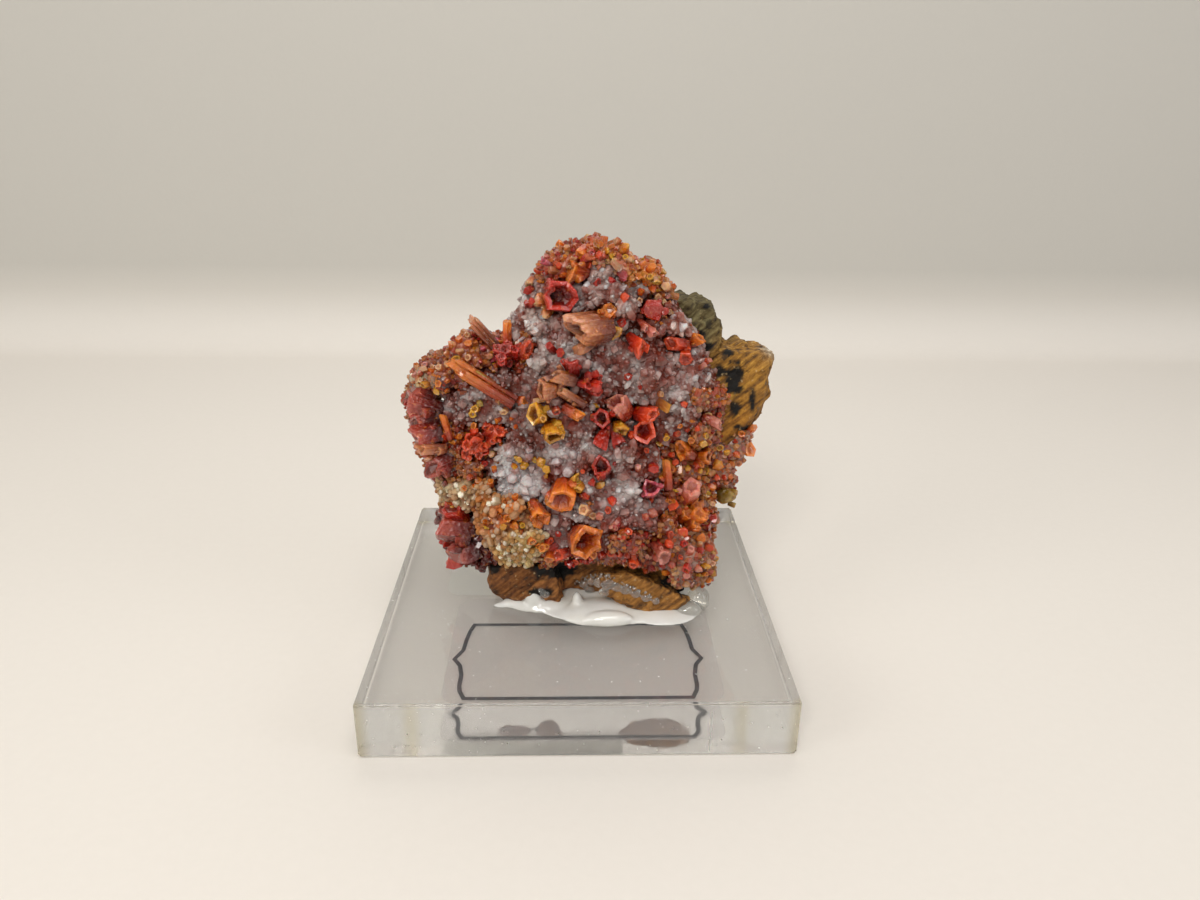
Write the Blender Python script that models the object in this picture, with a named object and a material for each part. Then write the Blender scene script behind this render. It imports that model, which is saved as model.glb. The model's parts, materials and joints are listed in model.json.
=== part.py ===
"""A vanadinite specimen glued to a clear acrylic block.

Shapes are worked out in millimetres and written to the meshes in metres. +Z is up, the crystal face
looks along -Y, and the origin is the middle of the block's underside.
"""

import math
import random
from dataclasses import dataclass

import bmesh
import bpy
from mathutils import Vector, noise
from mathutils.bvhtree import BVHTree

MM = 0.001
GAP = 0.35
FLAT_WITHIN = 0.001

# Acrylic block and what is stuck under it
BLOCK_SIDE = 44.45
BLOCK_THICKNESS = 6.5
BLOCK_EDGE = 0.3
LABEL_SIZE = (30.0, 20.0)
LABEL_CENTRE = (0.5, -8.1)
STICKER_SIZE = (22.0, 9.0)
STICKER_CENTRE = (-5.4, 7.2)
FILM_THICKNESS = 0.2
FILM_LIFT = 0.05
FILM_CORNER = 2.0
FILM_CORNER_STEPS = 4
RECESS_START = -1.0

# Glue puddle, in plan
GLUE_CENTRE = (2.7, -1.6)
GLUE_REACH = (12.6, 7.0)
GLUE_SIDES = 32
GLUE_CLEARANCE = 1.3
# Height above the block's top face, and the share of the plan at that height
GLUE_STEPS = ((0.35, 1.0), (0.8, 1.03), (1.6, 0.95), (2.4, 0.82), (3.0, 0.6))
# Strength, count and start of each wave of the puddle's outline
GLUE_WAVES = ((0.05, 3, 0.6), (0.04, 5, 0.0))

# Reference view of the crystal face, in which places on it are given in pixels of a 1200 by 900 frame
VIEW_CENTRE = (600.0, 450.0)
VIEW_FOCAL = 904.0
VIEW_EYE = Vector((-0.8, -95.4, 63.5))
VIEW_TURN = math.radians(-1.93)
VIEW_TILT = math.radians(22.22)
VIEW_ROLL = math.radians(0.87)
PIXELS_PER_MM = VIEW_FOCAL / -VIEW_EYE.y
FACE_SOFTNESS = 60.0
FACE_FALLOFF = 1.6

# Crusts
CRUST_THICKNESS = 2.6
CRUST_CELL = 20.5
CORNER_STRAY = 2.6
CORNER_GRAIN = 0.37
NOISE_SEED = 7
CRUST_SEED = 11
OUTLINE_REACH = 4.0
ZONE_GAP = 0.19
ROOM_LEAD = 14.0
ROOM_MARGIN = 0.35
PLAIN_SHARE = 0.35
EDGE_WIDTH = 26.0
EDGE_DROP = 2.2

# Rock behind the crusts
ROCK_CELL = 34.0
CHUNK_CELL = 18.0
LUMP_STRAY = 0.16
ROCK_LUMP = 0.4
ROCK_FRONT_GRAIN = 0.06
ROCK_FRONT_PHASE = 4.0
ROCK_SETBACK = 0.5
ROCK_BITE = 1.6
BARE_ROCK_EDGE = 3.0
ROCK_BACK = 10.5
ROCK_BACK_GRAIN = 0.21
ROCK_BACK_LUMP = 2.6
ROCK_RIM_WIDTH = 55.0
ROCK_RIM_DROP = 4.2
ROCK_WAIST = 28.0
ROCK_TOP_SLOPE = 0.16
ROCK_TAPER = 0.17
ROCK_THINNEST = 2.5
ROCK_MIDDLE = Vector((0.5, 0.0, 22.0))
CHUNK_FRONT = 1.2
CHUNK_FRONT_GRAIN = 0.09
CHUNK_FRONT_PHASE = 9.0
CHUNK_FRONT_LUMP = 0.9
CHUNK_FRONT_SLOPE = 0.012
CHUNK_FRONT_START = 700.0
CHUNK_DEPTH = 6.5
CHUNK_BACK_GRAIN = 0.3
CHUNK_BACK_LUMP = 1.5
CHUNK_SLOPE = 0.05
CHUNK_SLOPE_START = 715.0
CHUNK_SIDE_TAPER = 0.06
CHUNK_HEIGHT_TAPER = 0.03
CHUNK_MIDDLE_HEIGHT = 24.0
ROCK_FOOT = BLOCK_THICKNESS + 1.5

# What grows on a crust's cells: heights in mm, widths as a share of the cell
POINT_RISE = (0.35, 1.15)
POINT_STRAY = 0.35
STUB_RISE = (0.9, 1.9)
STUB_LEAN = 0.15
STUB_WIDTH = (0.62, 0.82)
# Share of the stub's height and width at the rim and at the floor of its hollow
HOLLOW_STEPS = ((1.0, 0.6), (0.35, 0.45))

# Crystals
CRYSTAL_SIDES = 6
CRYSTAL_SINK = 0.75
CRYSTAL_UPRIGHT = Vector((0.21, 0.3, 0.93))
STEEP_LEAN = 50.0
SOCKET_REACH = 6.0
SOCKET_SHARE = 1.16

# Depth of the crystal face at named places: u, v, and y in millimetres
FACE_DEPTHS = {
    "crown top": (600, 248, -1.5),
    "crown left": (538, 288, -2.2),
    "crown right": (656, 282, -1.8),
    "shoulder": (598, 325, -5.0),
    "right shoulder": (690, 345, -2.6),
    "dark hollow": (635, 368, -4.6),
    "wing tip": (415, 400, -0.8),
    "wing top": (465, 350, -2.4),
    "wing root": (510, 385, -4.6),
    "heart": (575, 400, -7.0),
    "right field": (682, 425, -4.6),
    "right edge": (742, 440, 1.0),
    "middle": (600, 470, -8.0),
    "left field": (470, 465, -3.8),
    "pale ledge": (515, 545, -8.0),
    "lower left": (450, 535, -2.2),
    "lower middle": (600, 555, -8.8),
    "lower right": (680, 560, -7.2),
    "flank": (718, 530, -2.6),
    "foot": (600, 605, -8.4),
    "foot left": (500, 600, -7.0),
    "foot right": (700, 600, -6.6),
}

# Outline of the crystal crusts in the reference view
FACE_OUTLINE = (
    (567, 243), (586, 239), (608, 241), (629, 254), (659, 267), (674, 280), (680, 305), (693, 330),
    (706, 352), (713, 375), (722, 398), (730, 420), (752, 432), (751, 452), (737, 466), (732, 488),
    (717, 507), (716, 530), (712, 545), (720, 570), (713, 587), (690, 592), (665, 578), (640, 568),
    (610, 560), (580, 565), (550, 563), (530, 562), (505, 562), (490, 552), (479, 568), (460, 565),
    (447, 545), (435, 522), (444, 508), (437, 490), (436, 474), (425, 458), (415, 448), (414, 430),
    (403, 415), (404, 385), (411, 367), (440, 358), (452, 342), (471, 331), (498, 340), (514, 335),
    (519, 310), (525, 286), (546, 260),
)

# Outlines of the rock's three lumps
ROCK_OUTLINE = (
    (580, 266), (610, 264), (636, 282), (654, 304), (684, 345), (705, 380), (710, 420), (704, 450),
    (694, 480), (686, 520), (682, 560), (690, 584), (699, 596), (676, 607), (648, 604), (616, 598),
    (581, 597), (551, 602), (525, 599), (506, 598), (492, 584), (492, 560), (482, 540), (474, 500),
    (462, 460), (446, 430), (442, 400), (462, 376), (486, 362), (520, 356), (540, 315), (550, 286),
)
OCHRE_OUTLINE = (
    (700, 354), (720, 346), (742, 345), (762, 346), (773, 355), (768, 378), (766, 392), (760, 413),
    (750, 429), (735, 442), (720, 456), (700, 450),
)
OLIVE_OUTLINE = (
    (662, 300), (674, 297), (690, 299), (709, 300), (714, 310), (715, 320), (719, 334), (722, 352),
    (715, 372), (690, 370),
)

# Areas of the face that one crust covers; the quartz has what is left
CROWN_AREA = (
    (500, 230), (690, 230), (690, 308), (650, 296), (622, 286), (600, 264), (575, 281), (546, 292),
    (524, 284), (500, 284),
)
WING_AREA = (
    (395, 300), (498, 300), (514, 330), (532, 352), (520, 374), (492, 364), (472, 374), (456, 394),
    (441, 398), (438, 430), (464, 436), (505, 420), (508, 442), (490, 470), (450, 476), (395, 478),
)
FLANK_AREA = (
    (800, 380), (715, 380), (692, 398), (688, 440), (664, 452), (660, 520), (640, 532), (565, 548),
    (545, 556), (545, 610), (800, 610),
)
LEDGE_AREA = (
    (420, 477), (492, 469), (516, 502), (532, 520), (556, 536), (548, 572), (496, 572), (478, 516),
    (420, 516),
)
WINE_AREA = ((420, 516), (478, 516), (497, 575), (420, 585))


@dataclass(frozen=True)
class Finish:
    """Colour and surface of one material."""

    colour: tuple
    roughness: float
    transmission: float = 0.0


@dataclass(frozen=True)
class Crystal:
    """One six sided crystal that grows out of the face.

    (u, v) is its foot in the reference view. clock is the way that it leans in the view, with 0 to the
    right and 90 up, and lean is how far it leans from pointing at the eye. Length and radius are in mm.
    """

    node: str
    u: float
    v: float
    clock: float
    lean: float
    length: float
    radius: float
    shape: str
    finish: str
    flat: float = 1.0
    spin: float = 0.0


FINISHES = {
    "clear_acrylic": Finish((0.93, 0.94, 0.92), 0.04, 1.0),
    "clear_film": Finish((0.86, 0.86, 0.84), 0.3, 0.8),
    "pale_film": Finish((0.8, 0.79, 0.72), 0.5),
    "hot_glue": Finish((0.85, 0.85, 0.83), 0.15, 0.7),
    "limonite": Finish((0.2, 0.11, 0.045), 0.85),
    "mauve_quartz": Finish((0.5, 0.38, 0.38), 0.3),
    "cream_coating": Finish((0.68, 0.6, 0.47), 0.7),
    "red_vanadinite": Finish((0.48, 0.05, 0.02), 0.25),
    "orange_vanadinite": Finish((0.62, 0.19, 0.03), 0.28),
    "amber_vanadinite": Finish((0.66, 0.33, 0.05), 0.3),
    "tan_vanadinite": Finish((0.52, 0.3, 0.2), 0.4),
    "wine_vanadinite": Finish((0.26, 0.04, 0.03), 0.22),
}

# Share of the length and share of the radius at each step from the foot to the tip; a step back goes inside
SHAPES = {
    "block": ((0, 1), (1, 1)),
    "taper": ((0, 1), (0.75, 0.92), (1, 0.6)),
    "flare": ((0, 0.55), (1, 1)),
    "barrel": ((0, 0.8), (0.5, 1), (1, 0.82)),
    "cup": ((0, 0.7), (0.6, 1), (1, 1), (1, 0.64), (0.5, 0.42)),
    "cone": ((0, 0.4), (1, 1), (1, 0.5), (0.8, 0.3)),
    "blade": ((0, 1), (0.6, 0.95), (1, 0.35)),
}

CRYSTALS = (
    Crystal("crown_barrel_crystal", 551, 297, 8, 42, 2.9, 1.75, "cup", "red_vanadinite"),
    Crystal("lying_barrel_crystal", 604, 323, 186, 74, 3.5, 1.75, "cup", "tan_vanadinite"),
    Crystal("ruby_hexagon_crystal", 652, 309, 0, 8, 1.9, 1.25, "block", "red_vanadinite"),
    Crystal("pink_tooth_crystal", 640, 323, -40, 60, 1.9, 0.8, "flare", "tan_vanadinite"),
    Crystal("crown_wedge_crystal", 583, 272, 160, 55, 1.9, 1.1, "flare", "orange_vanadinite"),
    Crystal("shoulder_wedge_crystal", 632, 338, -50, 55, 2.0, 0.85, "flare", "red_vanadinite"),
    Crystal("shoulder_cluster", 682, 345, 170, 48, 1.9, 0.9, "block", "orange_vanadinite"),
    Crystal("shoulder_cluster", 691, 341, 20, 50, 1.7, 0.75, "block", "orange_vanadinite"),
    Crystal("heart_cluster", 554, 386, 188, 52, 2.1, 1.15, "cup", "tan_vanadinite"),
    Crystal("heart_cluster", 568, 380, 160, 60, 2.0, 0.9, "block", "tan_vanadinite"),
    Crystal("heart_cluster", 580, 404, 150, 78, 3.0, 0.85, "block", "tan_vanadinite"),
    Crystal("heart_ruby_crystal", 587, 384, -15, 50, 2.0, 1.1, "block", "red_vanadinite"),
    Crystal("amber_cups_cluster", 542, 417, 165, 38, 2.0, 1.15, "cup", "amber_vanadinite"),
    Crystal("amber_cups_cluster", 550, 427, -75, 42, 2.0, 1.1, "cup", "amber_vanadinite"),
    Crystal("coral_cluster", 624, 411, 120, 50, 2.2, 1.3, "cup", "red_vanadinite"),
    Crystal("coral_cluster", 640, 413, -8, 50, 2.0, 0.9, "block", "red_vanadinite"),
    Crystal("coral_cluster", 641, 430, 0, 15, 2.0, 1.35, "cup", "red_vanadinite"),
    Crystal("maroon_twin_cluster", 604, 418, 180, 15, 1.8, 1.0, "cup", "red_vanadinite"),
    Crystal("maroon_twin_cluster", 607, 427, -112, 68, 2.4, 1.0, "cone", "red_vanadinite"),
    Crystal("flat_top_crystal", 563, 485, -98, 55, 2.4, 1.55, "cup", "orange_vanadinite"),
    Crystal("red_cup_crystal", 602, 473, 90, 30, 1.8, 0.95, "cup", "red_vanadinite"),
    Crystal("magenta_bud_crystal", 651, 491, 90, 15, 1.7, 1.15, "cup", "red_vanadinite"),
    Crystal("orange_wedge_crystal", 535, 505, -68, 60, 2.3, 1.0, "flare", "orange_vanadinite"),
    Crystal("great_orange_cup_crystal", 576, 538, -25, 35, 2.6, 1.85, "cup", "orange_vanadinite"),
    Crystal("ember_twin_cluster", 688, 453, 150, 40, 1.9, 0.95, "block", "orange_vanadinite"),
    Crystal("ember_twin_cluster", 698, 456, 0, 45, 1.9, 0.9, "cup", "orange_vanadinite"),
    Crystal("ember_column_crystal", 669, 485, 95, 76, 3.0, 0.75, "block", "orange_vanadinite"),
    Crystal("ember_fan_crystal", 690, 521, 40, 50, 2.2, 1.4, "flare", "orange_vanadinite"),
    Crystal("rose_block_crystal", 687, 494, 60, 40, 1.9, 1.1, "block", "orange_vanadinite"),
    Crystal("coral_wedge_crystal", 655, 546, -50, 55, 2.2, 0.85, "flare", "red_vanadinite"),
    Crystal("rose_prism_crystal", 704, 418, -28, 72, 2.0, 0.62, "block", "tan_vanadinite"),
    Crystal("olive_lump_crystal", 721, 496, -10, 60, 2.0, 1.05, "barrel", "amber_vanadinite"),
    Crystal("amber_spear_crystal", 513, 401, 148, 82, 8.2, 1.0, "block", "orange_vanadinite", 0.75),
    Crystal("tan_spike_crystal", 494, 344, 133, 80, 4.0, 0.8, "blade", "tan_vanadinite", 0.7),
    Crystal("orange_finger_crystal", 507, 345, 90, 78, 2.7, 0.55, "block", "orange_vanadinite"),
    Crystal("ruby_fan_cluster", 508, 358, 110, 35, 2.0, 1.2, "block", "red_vanadinite"),
    Crystal("ruby_fan_cluster", 519, 352, 20, 45, 1.8, 0.8, "block", "red_vanadinite"),
    Crystal("left_maroon_crystal", 436, 410, 168, 72, 3.6, 1.6, "taper", "wine_vanadinite"),
    Crystal("striated_stack_cluster", 433, 433, 190, 78, 2.3, 1.1, "barrel", "wine_vanadinite"),
    Crystal("striated_stack_cluster", 438, 449, 185, 76, 2.7, 1.2, "barrel", "wine_vanadinite"),
    Crystal("striated_stack_cluster", 446, 458, 212, 76, 2.3, 1.1, "barrel", "wine_vanadinite"),
    Crystal("wine_cluster", 469, 527, 178, 74, 3.7, 1.9, "taper", "wine_vanadinite"),
    Crystal("wine_cluster", 474, 548, 200, 74, 3.0, 1.7, "taper", "wine_vanadinite"),
    Crystal("slim_finger_crystal", 449, 437, 108, 74, 2.7, 0.45, "block", "orange_vanadinite"),
    Crystal("red_rosette_crystal", 471, 446, 0, 20, 1.7, 1.35, "cup", "red_vanadinite"),
    Crystal("red_sheaf_crystal", 492, 434, 20, 40, 1.8, 1.0, "block", "red_vanadinite"),
)


def view_axes():
    """Unit vectors to the right, up and ahead in the reference view."""
    ahead = Vector((
        -math.sin(VIEW_TURN) * math.cos(VIEW_TILT),
        math.cos(VIEW_TURN) * math.cos(VIEW_TILT),
        -math.sin(VIEW_TILT),
    ))
    level = Vector((math.cos(VIEW_TURN), math.sin(VIEW_TURN), 0))
    upright = level.cross(ahead)
    right = level * math.cos(VIEW_ROLL) + upright * math.sin(VIEW_ROLL)
    up = upright * math.cos(VIEW_ROLL) - level * math.sin(VIEW_ROLL)
    return right, up, ahead


VIEW_RIGHT, VIEW_UP, VIEW_AHEAD = view_axes()


def sight_line(u, v):
    """Unit vector from the eye through a place in the view."""
    across = (u - VIEW_CENTRE[0]) / VIEW_FOCAL
    down = (v - VIEW_CENTRE[1]) / VIEW_FOCAL
    return (VIEW_AHEAD + VIEW_RIGHT * across - VIEW_UP * down).normalized()


def spot(u, v, depth):
    """The point at y = depth that the view shows at (u, v)."""
    line = sight_line(u, v)
    return VIEW_EYE + line * ((depth - VIEW_EYE.y) / line.y)


def edge_distance(u, v, outline):
    """Distance in pixels from (u, v) to the outline, and the nearest point of the outline."""
    place = Vector((u, v))
    best = (math.inf, place)
    for i, start in enumerate(outline):
        a = Vector(start)
        b = Vector(outline[(i + 1) % len(outline)])
        along = min(1.0, max(0.0, (place - a).dot(b - a) / (b - a).length_squared))
        nearest = a + (b - a) * along
        best = min(best, ((place - nearest).length, nearest), key=lambda found: found[0])
    return best


def inside(u, v, outline):
    """True where (u, v) lies within the closed outline."""
    result = False
    for i, (u0, v0) in enumerate(outline):
        u1, v1 = outline[(i + 1) % len(outline)]
        if (v0 > v) != (v1 > v) and u < (u1 - u0) * (v - v0) / (v1 - v0) + u0:
            result = not result
    return result


def smooth_face(u, v):
    """Depth of the face at (u, v), blended from the named places."""
    total = 0.0
    weight = 0.0
    for place_u, place_v, depth in FACE_DEPTHS.values():
        share = 1.0 / (FACE_SOFTNESS + (u - place_u) ** 2 + (v - place_v) ** 2) ** FACE_FALLOFF
        total += share * depth
        weight += share
    return total / weight


def crust_depth(u, v):
    """Depth of the crusts' mean surface, which rolls back towards the outline."""
    distance = edge_distance(u, v, FACE_OUTLINE)[0] if inside(u, v, FACE_OUTLINE) else 0.0
    roll = 1.0 - min(1.0, distance / EDGE_WIDTH)
    return smooth_face(u, v) + EDGE_DROP * roll * roll


def lattice(outline, pitch, stray):
    """Six sided cells that fill an outline, as (centre, corner keys), and the place of each corner."""
    places = {}
    cells = []
    us = [u for u, _ in outline]
    vs = [v for _, v in outline]
    row_step = pitch * math.sqrt(3) / 2
    for row in range(int((max(vs) - min(vs)) / row_step) + 2):
        for column in range(int((max(us) - min(us)) / pitch) + 2):
            u = min(us) + (column + 0.5 * (row % 2)) * pitch
            v = min(vs) + row * row_step
            if not inside(u, v, outline):
                continue
            keys = []
            for k in range(6):
                angle = math.radians(30 + 60 * k)
                reach = pitch / math.sqrt(3)
                corner = (u + reach * math.cos(angle), v + reach * math.sin(angle))
                key = (round(corner[0]), round(corner[1]))
                near = [key[0] + i for i in (-1, 0, 1)], [key[1] + j for j in (-1, 0, 1)]
                known = [(i, j) for i in near[0] for j in near[1] if (i, j) in places]
                key = known[0] if known else key
                grain = Vector((corner[0] * CORNER_GRAIN, corner[1] * CORNER_GRAIN, pitch))
                wobble = noise.noise_vector(grain)
                places.setdefault(key, Vector(corner) + Vector((wobble.x, wobble.y)) * stray)
                keys.append(key)
            cells.append((Vector((u, v)), keys))
    return cells, places


def pull_to_outline(cells, places, outline):
    """Moves the corners on the rim of the cells to the outline, where they lie near it."""
    used = {}
    for _, keys in cells:
        for key in keys:
            used[key] = used.get(key, 0) + 1
    for key, count in used.items():
        distance, nearest = edge_distance(*places[key], outline)
        if count < 3 and distance > 0:
            step = min(distance, OUTLINE_REACH)
            places[key] = places[key] + (nearest - places[key]) * (step / distance)


def material_of(name):
    """The material of this finish, made once."""
    found = bpy.data.materials.get(name)
    if found:
        return found
    finish = FINISHES[name]
    material = bpy.data.materials.new(name)
    material.use_nodes = True
    shader = material.node_tree.nodes["Principled BSDF"]
    shader.inputs["Base Color"].default_value = (*finish.colour, 1)
    shader.inputs["Roughness"].default_value = finish.roughness
    shader.inputs["Metallic"].default_value = 0.0
    shader.inputs["Transmission Weight"].default_value = finish.transmission
    material.diffuse_color = (*finish.colour, 1)
    return material


def is_flat(face):
    """True where every corner of a face lies in one plane."""
    face.normal_update()
    middle = face.calc_center_median()
    return all(abs((vert.co - middle).dot(face.normal)) < FLAT_WITHIN for vert in face.verts)


def object_of(name, mesh_builder, finish):
    """A named object from a bmesh in millimetres."""
    bmesh.ops.recalc_face_normals(mesh_builder, faces=mesh_builder.faces)
    bent = [face for face in mesh_builder.faces if len(face.verts) > 3 and not is_flat(face)]
    bmesh.ops.triangulate(mesh_builder, faces=bent)
    bmesh.ops.scale(mesh_builder, vec=(MM, MM, MM), verts=mesh_builder.verts)
    mesh = bpy.data.meshes.new(name)
    mesh_builder.to_mesh(mesh)
    mesh_builder.free()
    mesh.materials.append(material_of(finish))
    made = bpy.data.objects.new(name, mesh)
    bpy.context.scene.collection.objects.link(made)
    return made


def as_helper(helper):
    """Marks an object as one that only shapes others."""
    helper.hide_render = True
    helper.display_type = "WIRE"
    return helper


def boolean(target, operation, tool):
    """Adds one Boolean modifier with this object as its tool."""
    modifier = target.modifiers.new(f"{operation.lower()} {tool.name}", "BOOLEAN")
    modifier.operation = operation
    modifier.object = tool
    modifier.solver = "EXACT"


def grown_copy(source, name, by):
    """A helper with the shape of a mesh, moved out along its normals by this many millimetres."""
    builder = bmesh.new()
    builder.from_mesh(source.data)
    builder.normal_update()
    for vert in builder.verts:
        vert.co += vert.normal * by * MM
    mesh = bpy.data.meshes.new(name)
    builder.to_mesh(mesh)
    builder.free()
    helper = bpy.data.objects.new(name, mesh)
    bpy.context.scene.collection.objects.link(helper)
    return as_helper(helper)


def cell_top(builder, ring, centre, dice, form):
    """Closes one cell's rim with what grows there: nothing, a point, a stub or a hollow stub."""
    outward = -sight_line(*VIEW_CENTRE)
    if form == "plain":
        builder.faces.new(ring)
        return
    if form == "point":
        stray = [dice.uniform(-POINT_STRAY, POINT_STRAY) for _ in range(2)]
        aside = Vector((stray[0], 0, stray[1]))
        apex = builder.verts.new(centre + outward * dice.uniform(*POINT_RISE) + aside)
        for i, vert in enumerate(ring):
            builder.faces.new((vert, ring[(i + 1) % 6], apex))
        return
    lean = Vector((dice.uniform(-STUB_LEAN, STUB_LEAN), 0, dice.uniform(-STUB_LEAN, STUB_LEAN)))
    rise = (outward + lean) * dice.uniform(*STUB_RISE)
    width = dice.uniform(*STUB_WIDTH)
    steps = [(1.0, width)]
    if form == "hollow":
        steps += [(height, width * share) for height, share in HOLLOW_STEPS]
    base = [vert.co.copy() for vert in ring]
    for height, share in steps:
        upper = [builder.verts.new(centre + (corner - centre) * share + rise * height) for corner in base]
        for i in range(6):
            builder.faces.new((ring[i], ring[(i + 1) % 6], upper[(i + 1) % 6], upper[i]))
        ring = upper
    builder.faces.new(ring)


def sheet_solid(name, cells, places, finish, front, thickness, form_of, dice, lead=0.0):
    """One closed body over these cells.

    front gives the depth of a corner, thickness the way from a point of the front to the back, and form_of
    what grows on a cell. lead brings the whole front nearer.
    """
    builder = bmesh.new()
    fronts = {}
    backs = {}
    rims = {}
    for centre, keys in cells:
        for key in keys:
            if key not in fronts:
                point = spot(*places[key], front(*places[key])) - Vector((0, lead, 0))
                fronts[key] = builder.verts.new(point)
                backs[key] = builder.verts.new(point + thickness(*places[key], point))
        ring = [fronts[key] for key in keys]
        middle = sum((vert.co for vert in ring), Vector()) / 6
        cell_top(builder, ring, middle, dice, form_of(*centre))
        builder.faces.new([backs[key] for key in reversed(keys)])
        for i, key in enumerate(keys):
            follower = keys[(i + 1) % 6]
            if (follower, key) in rims:
                del rims[follower, key]
            else:
                rims[key, follower] = True
    for key, follower in rims:
        builder.faces.new((fronts[follower], fronts[key], backs[key], backs[follower]))
    return object_of(name, builder, finish)


def largest_patch(cells):
    """The cells of the largest group that hangs together edge to edge."""
    owners = {}
    for index, (_, keys) in enumerate(cells):
        for i, key in enumerate(keys):
            owners.setdefault(frozenset((key, keys[(i + 1) % 6])), []).append(index)
    beside = {index: set() for index in range(len(cells))}
    for pair in owners.values():
        if len(pair) == 2:
            beside[pair[0]].add(pair[1])
            beside[pair[1]].add(pair[0])
    best = set()
    left = set(beside)
    while left:
        found = set()
        waiting = {left.pop()}
        while waiting:
            index = waiting.pop()
            found.add(index)
            waiting |= beside[index] - found
        left -= found
        best = max(best, found, key=len)
    return [cells[index] for index in sorted(best)]


def shrunk_places(cells, places, by):
    """The corners of one area's cells, with those on its rim moved inwards by this many millimetres."""
    centres = {}
    for centre, keys in cells:
        for key in keys:
            centres.setdefault(key, []).append(centre)
    moved = dict(places)
    for key, around in centres.items():
        if len(around) < 3:
            inwards = sum(around, Vector((0, 0))) / len(around) - places[key]
            moved[key] = places[key] + inwards.normalized() * by * PIXELS_PER_MM
    return moved


def near_crystal(u, v):
    """True where a large crystal stands over a cell, which is then left plain."""
    for crystal in CRYSTALS:
        reach = crystal.radius * PIXELS_PER_MM + CRUST_CELL * PLAIN_SHARE
        side = math.sin(math.radians(crystal.lean)) * crystal.length * PIXELS_PER_MM
        for share in (0.0, 0.5, 1.0):
            tip_u = crystal.u + math.cos(math.radians(crystal.clock)) * side * share
            tip_v = crystal.v - math.sin(math.radians(crystal.clock)) * side * share
            if math.hypot(u - tip_u, v - tip_v) < reach:
                return True
    return False


def form_picker(dice, shares):
    """A function that gives each cell its form, by these shares of points, stubs and hollow stubs."""

    def pick(u, v):
        chosen = dice.choices(("point", "stub", "hollow", "plain"), shares)[0]
        return "plain" if near_crystal(u, v) else chosen

    return pick


def bare(*_):
    """The form of a cell on which nothing grows."""
    return "plain"


def rock_form(u, v):
    """Broken points where the rock lies bare, and nothing where the crusts hide it."""
    return "plain" if under_crust(u, v) else "point"


def crust_back(*_):
    """The way through a crust."""
    return Vector((0, CRUST_THICKNESS, 0))


def make_crusts():
    """One body for each area of the face."""
    cells, places = lattice(FACE_OUTLINE, CRUST_CELL, CORNER_STRAY)
    pull_to_outline(cells, places, FACE_OUTLINE)
    areas = (
        ("crown_crust", CROWN_AREA, "orange_vanadinite", (1, 6, 1, 0)),
        ("left_wing_crust", WING_AREA, "orange_vanadinite", (2, 6, 0, 1)),
        ("right_flank_crust", FLANK_AREA, "orange_vanadinite", (1, 6, 1, 0)),
        ("cream_ledge", LEDGE_AREA, "cream_coating", (2, 2, 3, 0)),
        ("lower_left_crust", WINE_AREA, "wine_vanadinite", (3, 1, 0, 1)),
        ("quartz_druse", None, "mauve_quartz", (5, 1, 0, 1)),
    )
    made = []
    left = cells
    for number, (name, area, finish, shares) in enumerate(areas):
        own = [cell for cell in left if area is None or inside(*cell[0], area)]
        own = largest_patch(own)
        left = [cell for cell in left if cell not in own]
        dice = random.Random(number + CRUST_SEED)
        forms = form_picker(dice, shares)
        corners = shrunk_places(own, places, ZONE_GAP)
        made.append(sheet_solid(name, own, corners, finish, crust_depth, crust_back, forms, dice))
    corners = shrunk_places(cells, places, -ROOM_MARGIN)
    room = sheet_solid(
        "crust_room", cells, corners, "mauve_quartz", crust_depth, room_back, bare, dice, ROOM_LEAD
    )
    return made, as_helper(room)


def room_back(*_):
    """The way through the room for the crusts, from its front to a little behind their backs."""
    return Vector((0, ROOM_LEAD + CRUST_THICKNESS + 2 * GAP, 0))


def under_crust(u, v):
    """True where the crusts hide the rock."""
    return inside(u, v, FACE_OUTLINE) and edge_distance(u, v, FACE_OUTLINE)[0] > BARE_ROCK_EDGE


def rock_front(u, v):
    """Depth of the rock's front. Under the crusts it reaches into the room that is cut for them."""
    place = Vector((u * ROCK_FRONT_GRAIN, v * ROCK_FRONT_GRAIN, ROCK_FRONT_PHASE))
    lump = abs(noise.noise(place)) * ROCK_LUMP
    setback = -ROCK_BITE if under_crust(u, v) else ROCK_SETBACK
    return crust_depth(u, v) + CRUST_THICKNESS + GAP + setback + lump


def rock_back(u, v, point):
    """The way through the rock, whose lumpy back is smaller than its front and thins towards its rim."""
    lump = noise.noise(point * ROCK_BACK_GRAIN) * ROCK_BACK_LUMP
    rim = max(0.0, 1.0 - edge_distance(u, v, ROCK_OUTLINE)[0] / ROCK_RIM_WIDTH)
    height = max(0.0, point.z - ROCK_WAIST) * ROCK_TOP_SLOPE
    depth = ROCK_BACK - point.y - height + lump - ROCK_RIM_DROP * rim * rim
    inwards = (ROCK_MIDDLE - point) * ROCK_TAPER
    return Vector((inwards.x, max(ROCK_THINNEST, depth), inwards.z))


def chunk_front(u, v):
    """Depth of the front of the chunks that stand out behind the right side."""
    place = Vector((u * CHUNK_FRONT_GRAIN, v * CHUNK_FRONT_GRAIN, CHUNK_FRONT_PHASE))
    slope = (u - CHUNK_FRONT_START) * CHUNK_FRONT_SLOPE
    return CHUNK_FRONT + noise.noise(place) * CHUNK_FRONT_LUMP + slope


def chunk_back(u, v, point):
    """The way through a chunk, which thins towards its outer end."""
    lump = noise.noise(point * CHUNK_BACK_GRAIN) * CHUNK_BACK_LUMP
    depth = CHUNK_DEPTH + lump - max(0.0, u - CHUNK_SLOPE_START) * CHUNK_SLOPE
    return Vector((-CHUNK_SIDE_TAPER * depth, depth, CHUNK_HEIGHT_TAPER * (CHUNK_MIDDLE_HEIGHT - point.z)))


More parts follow.
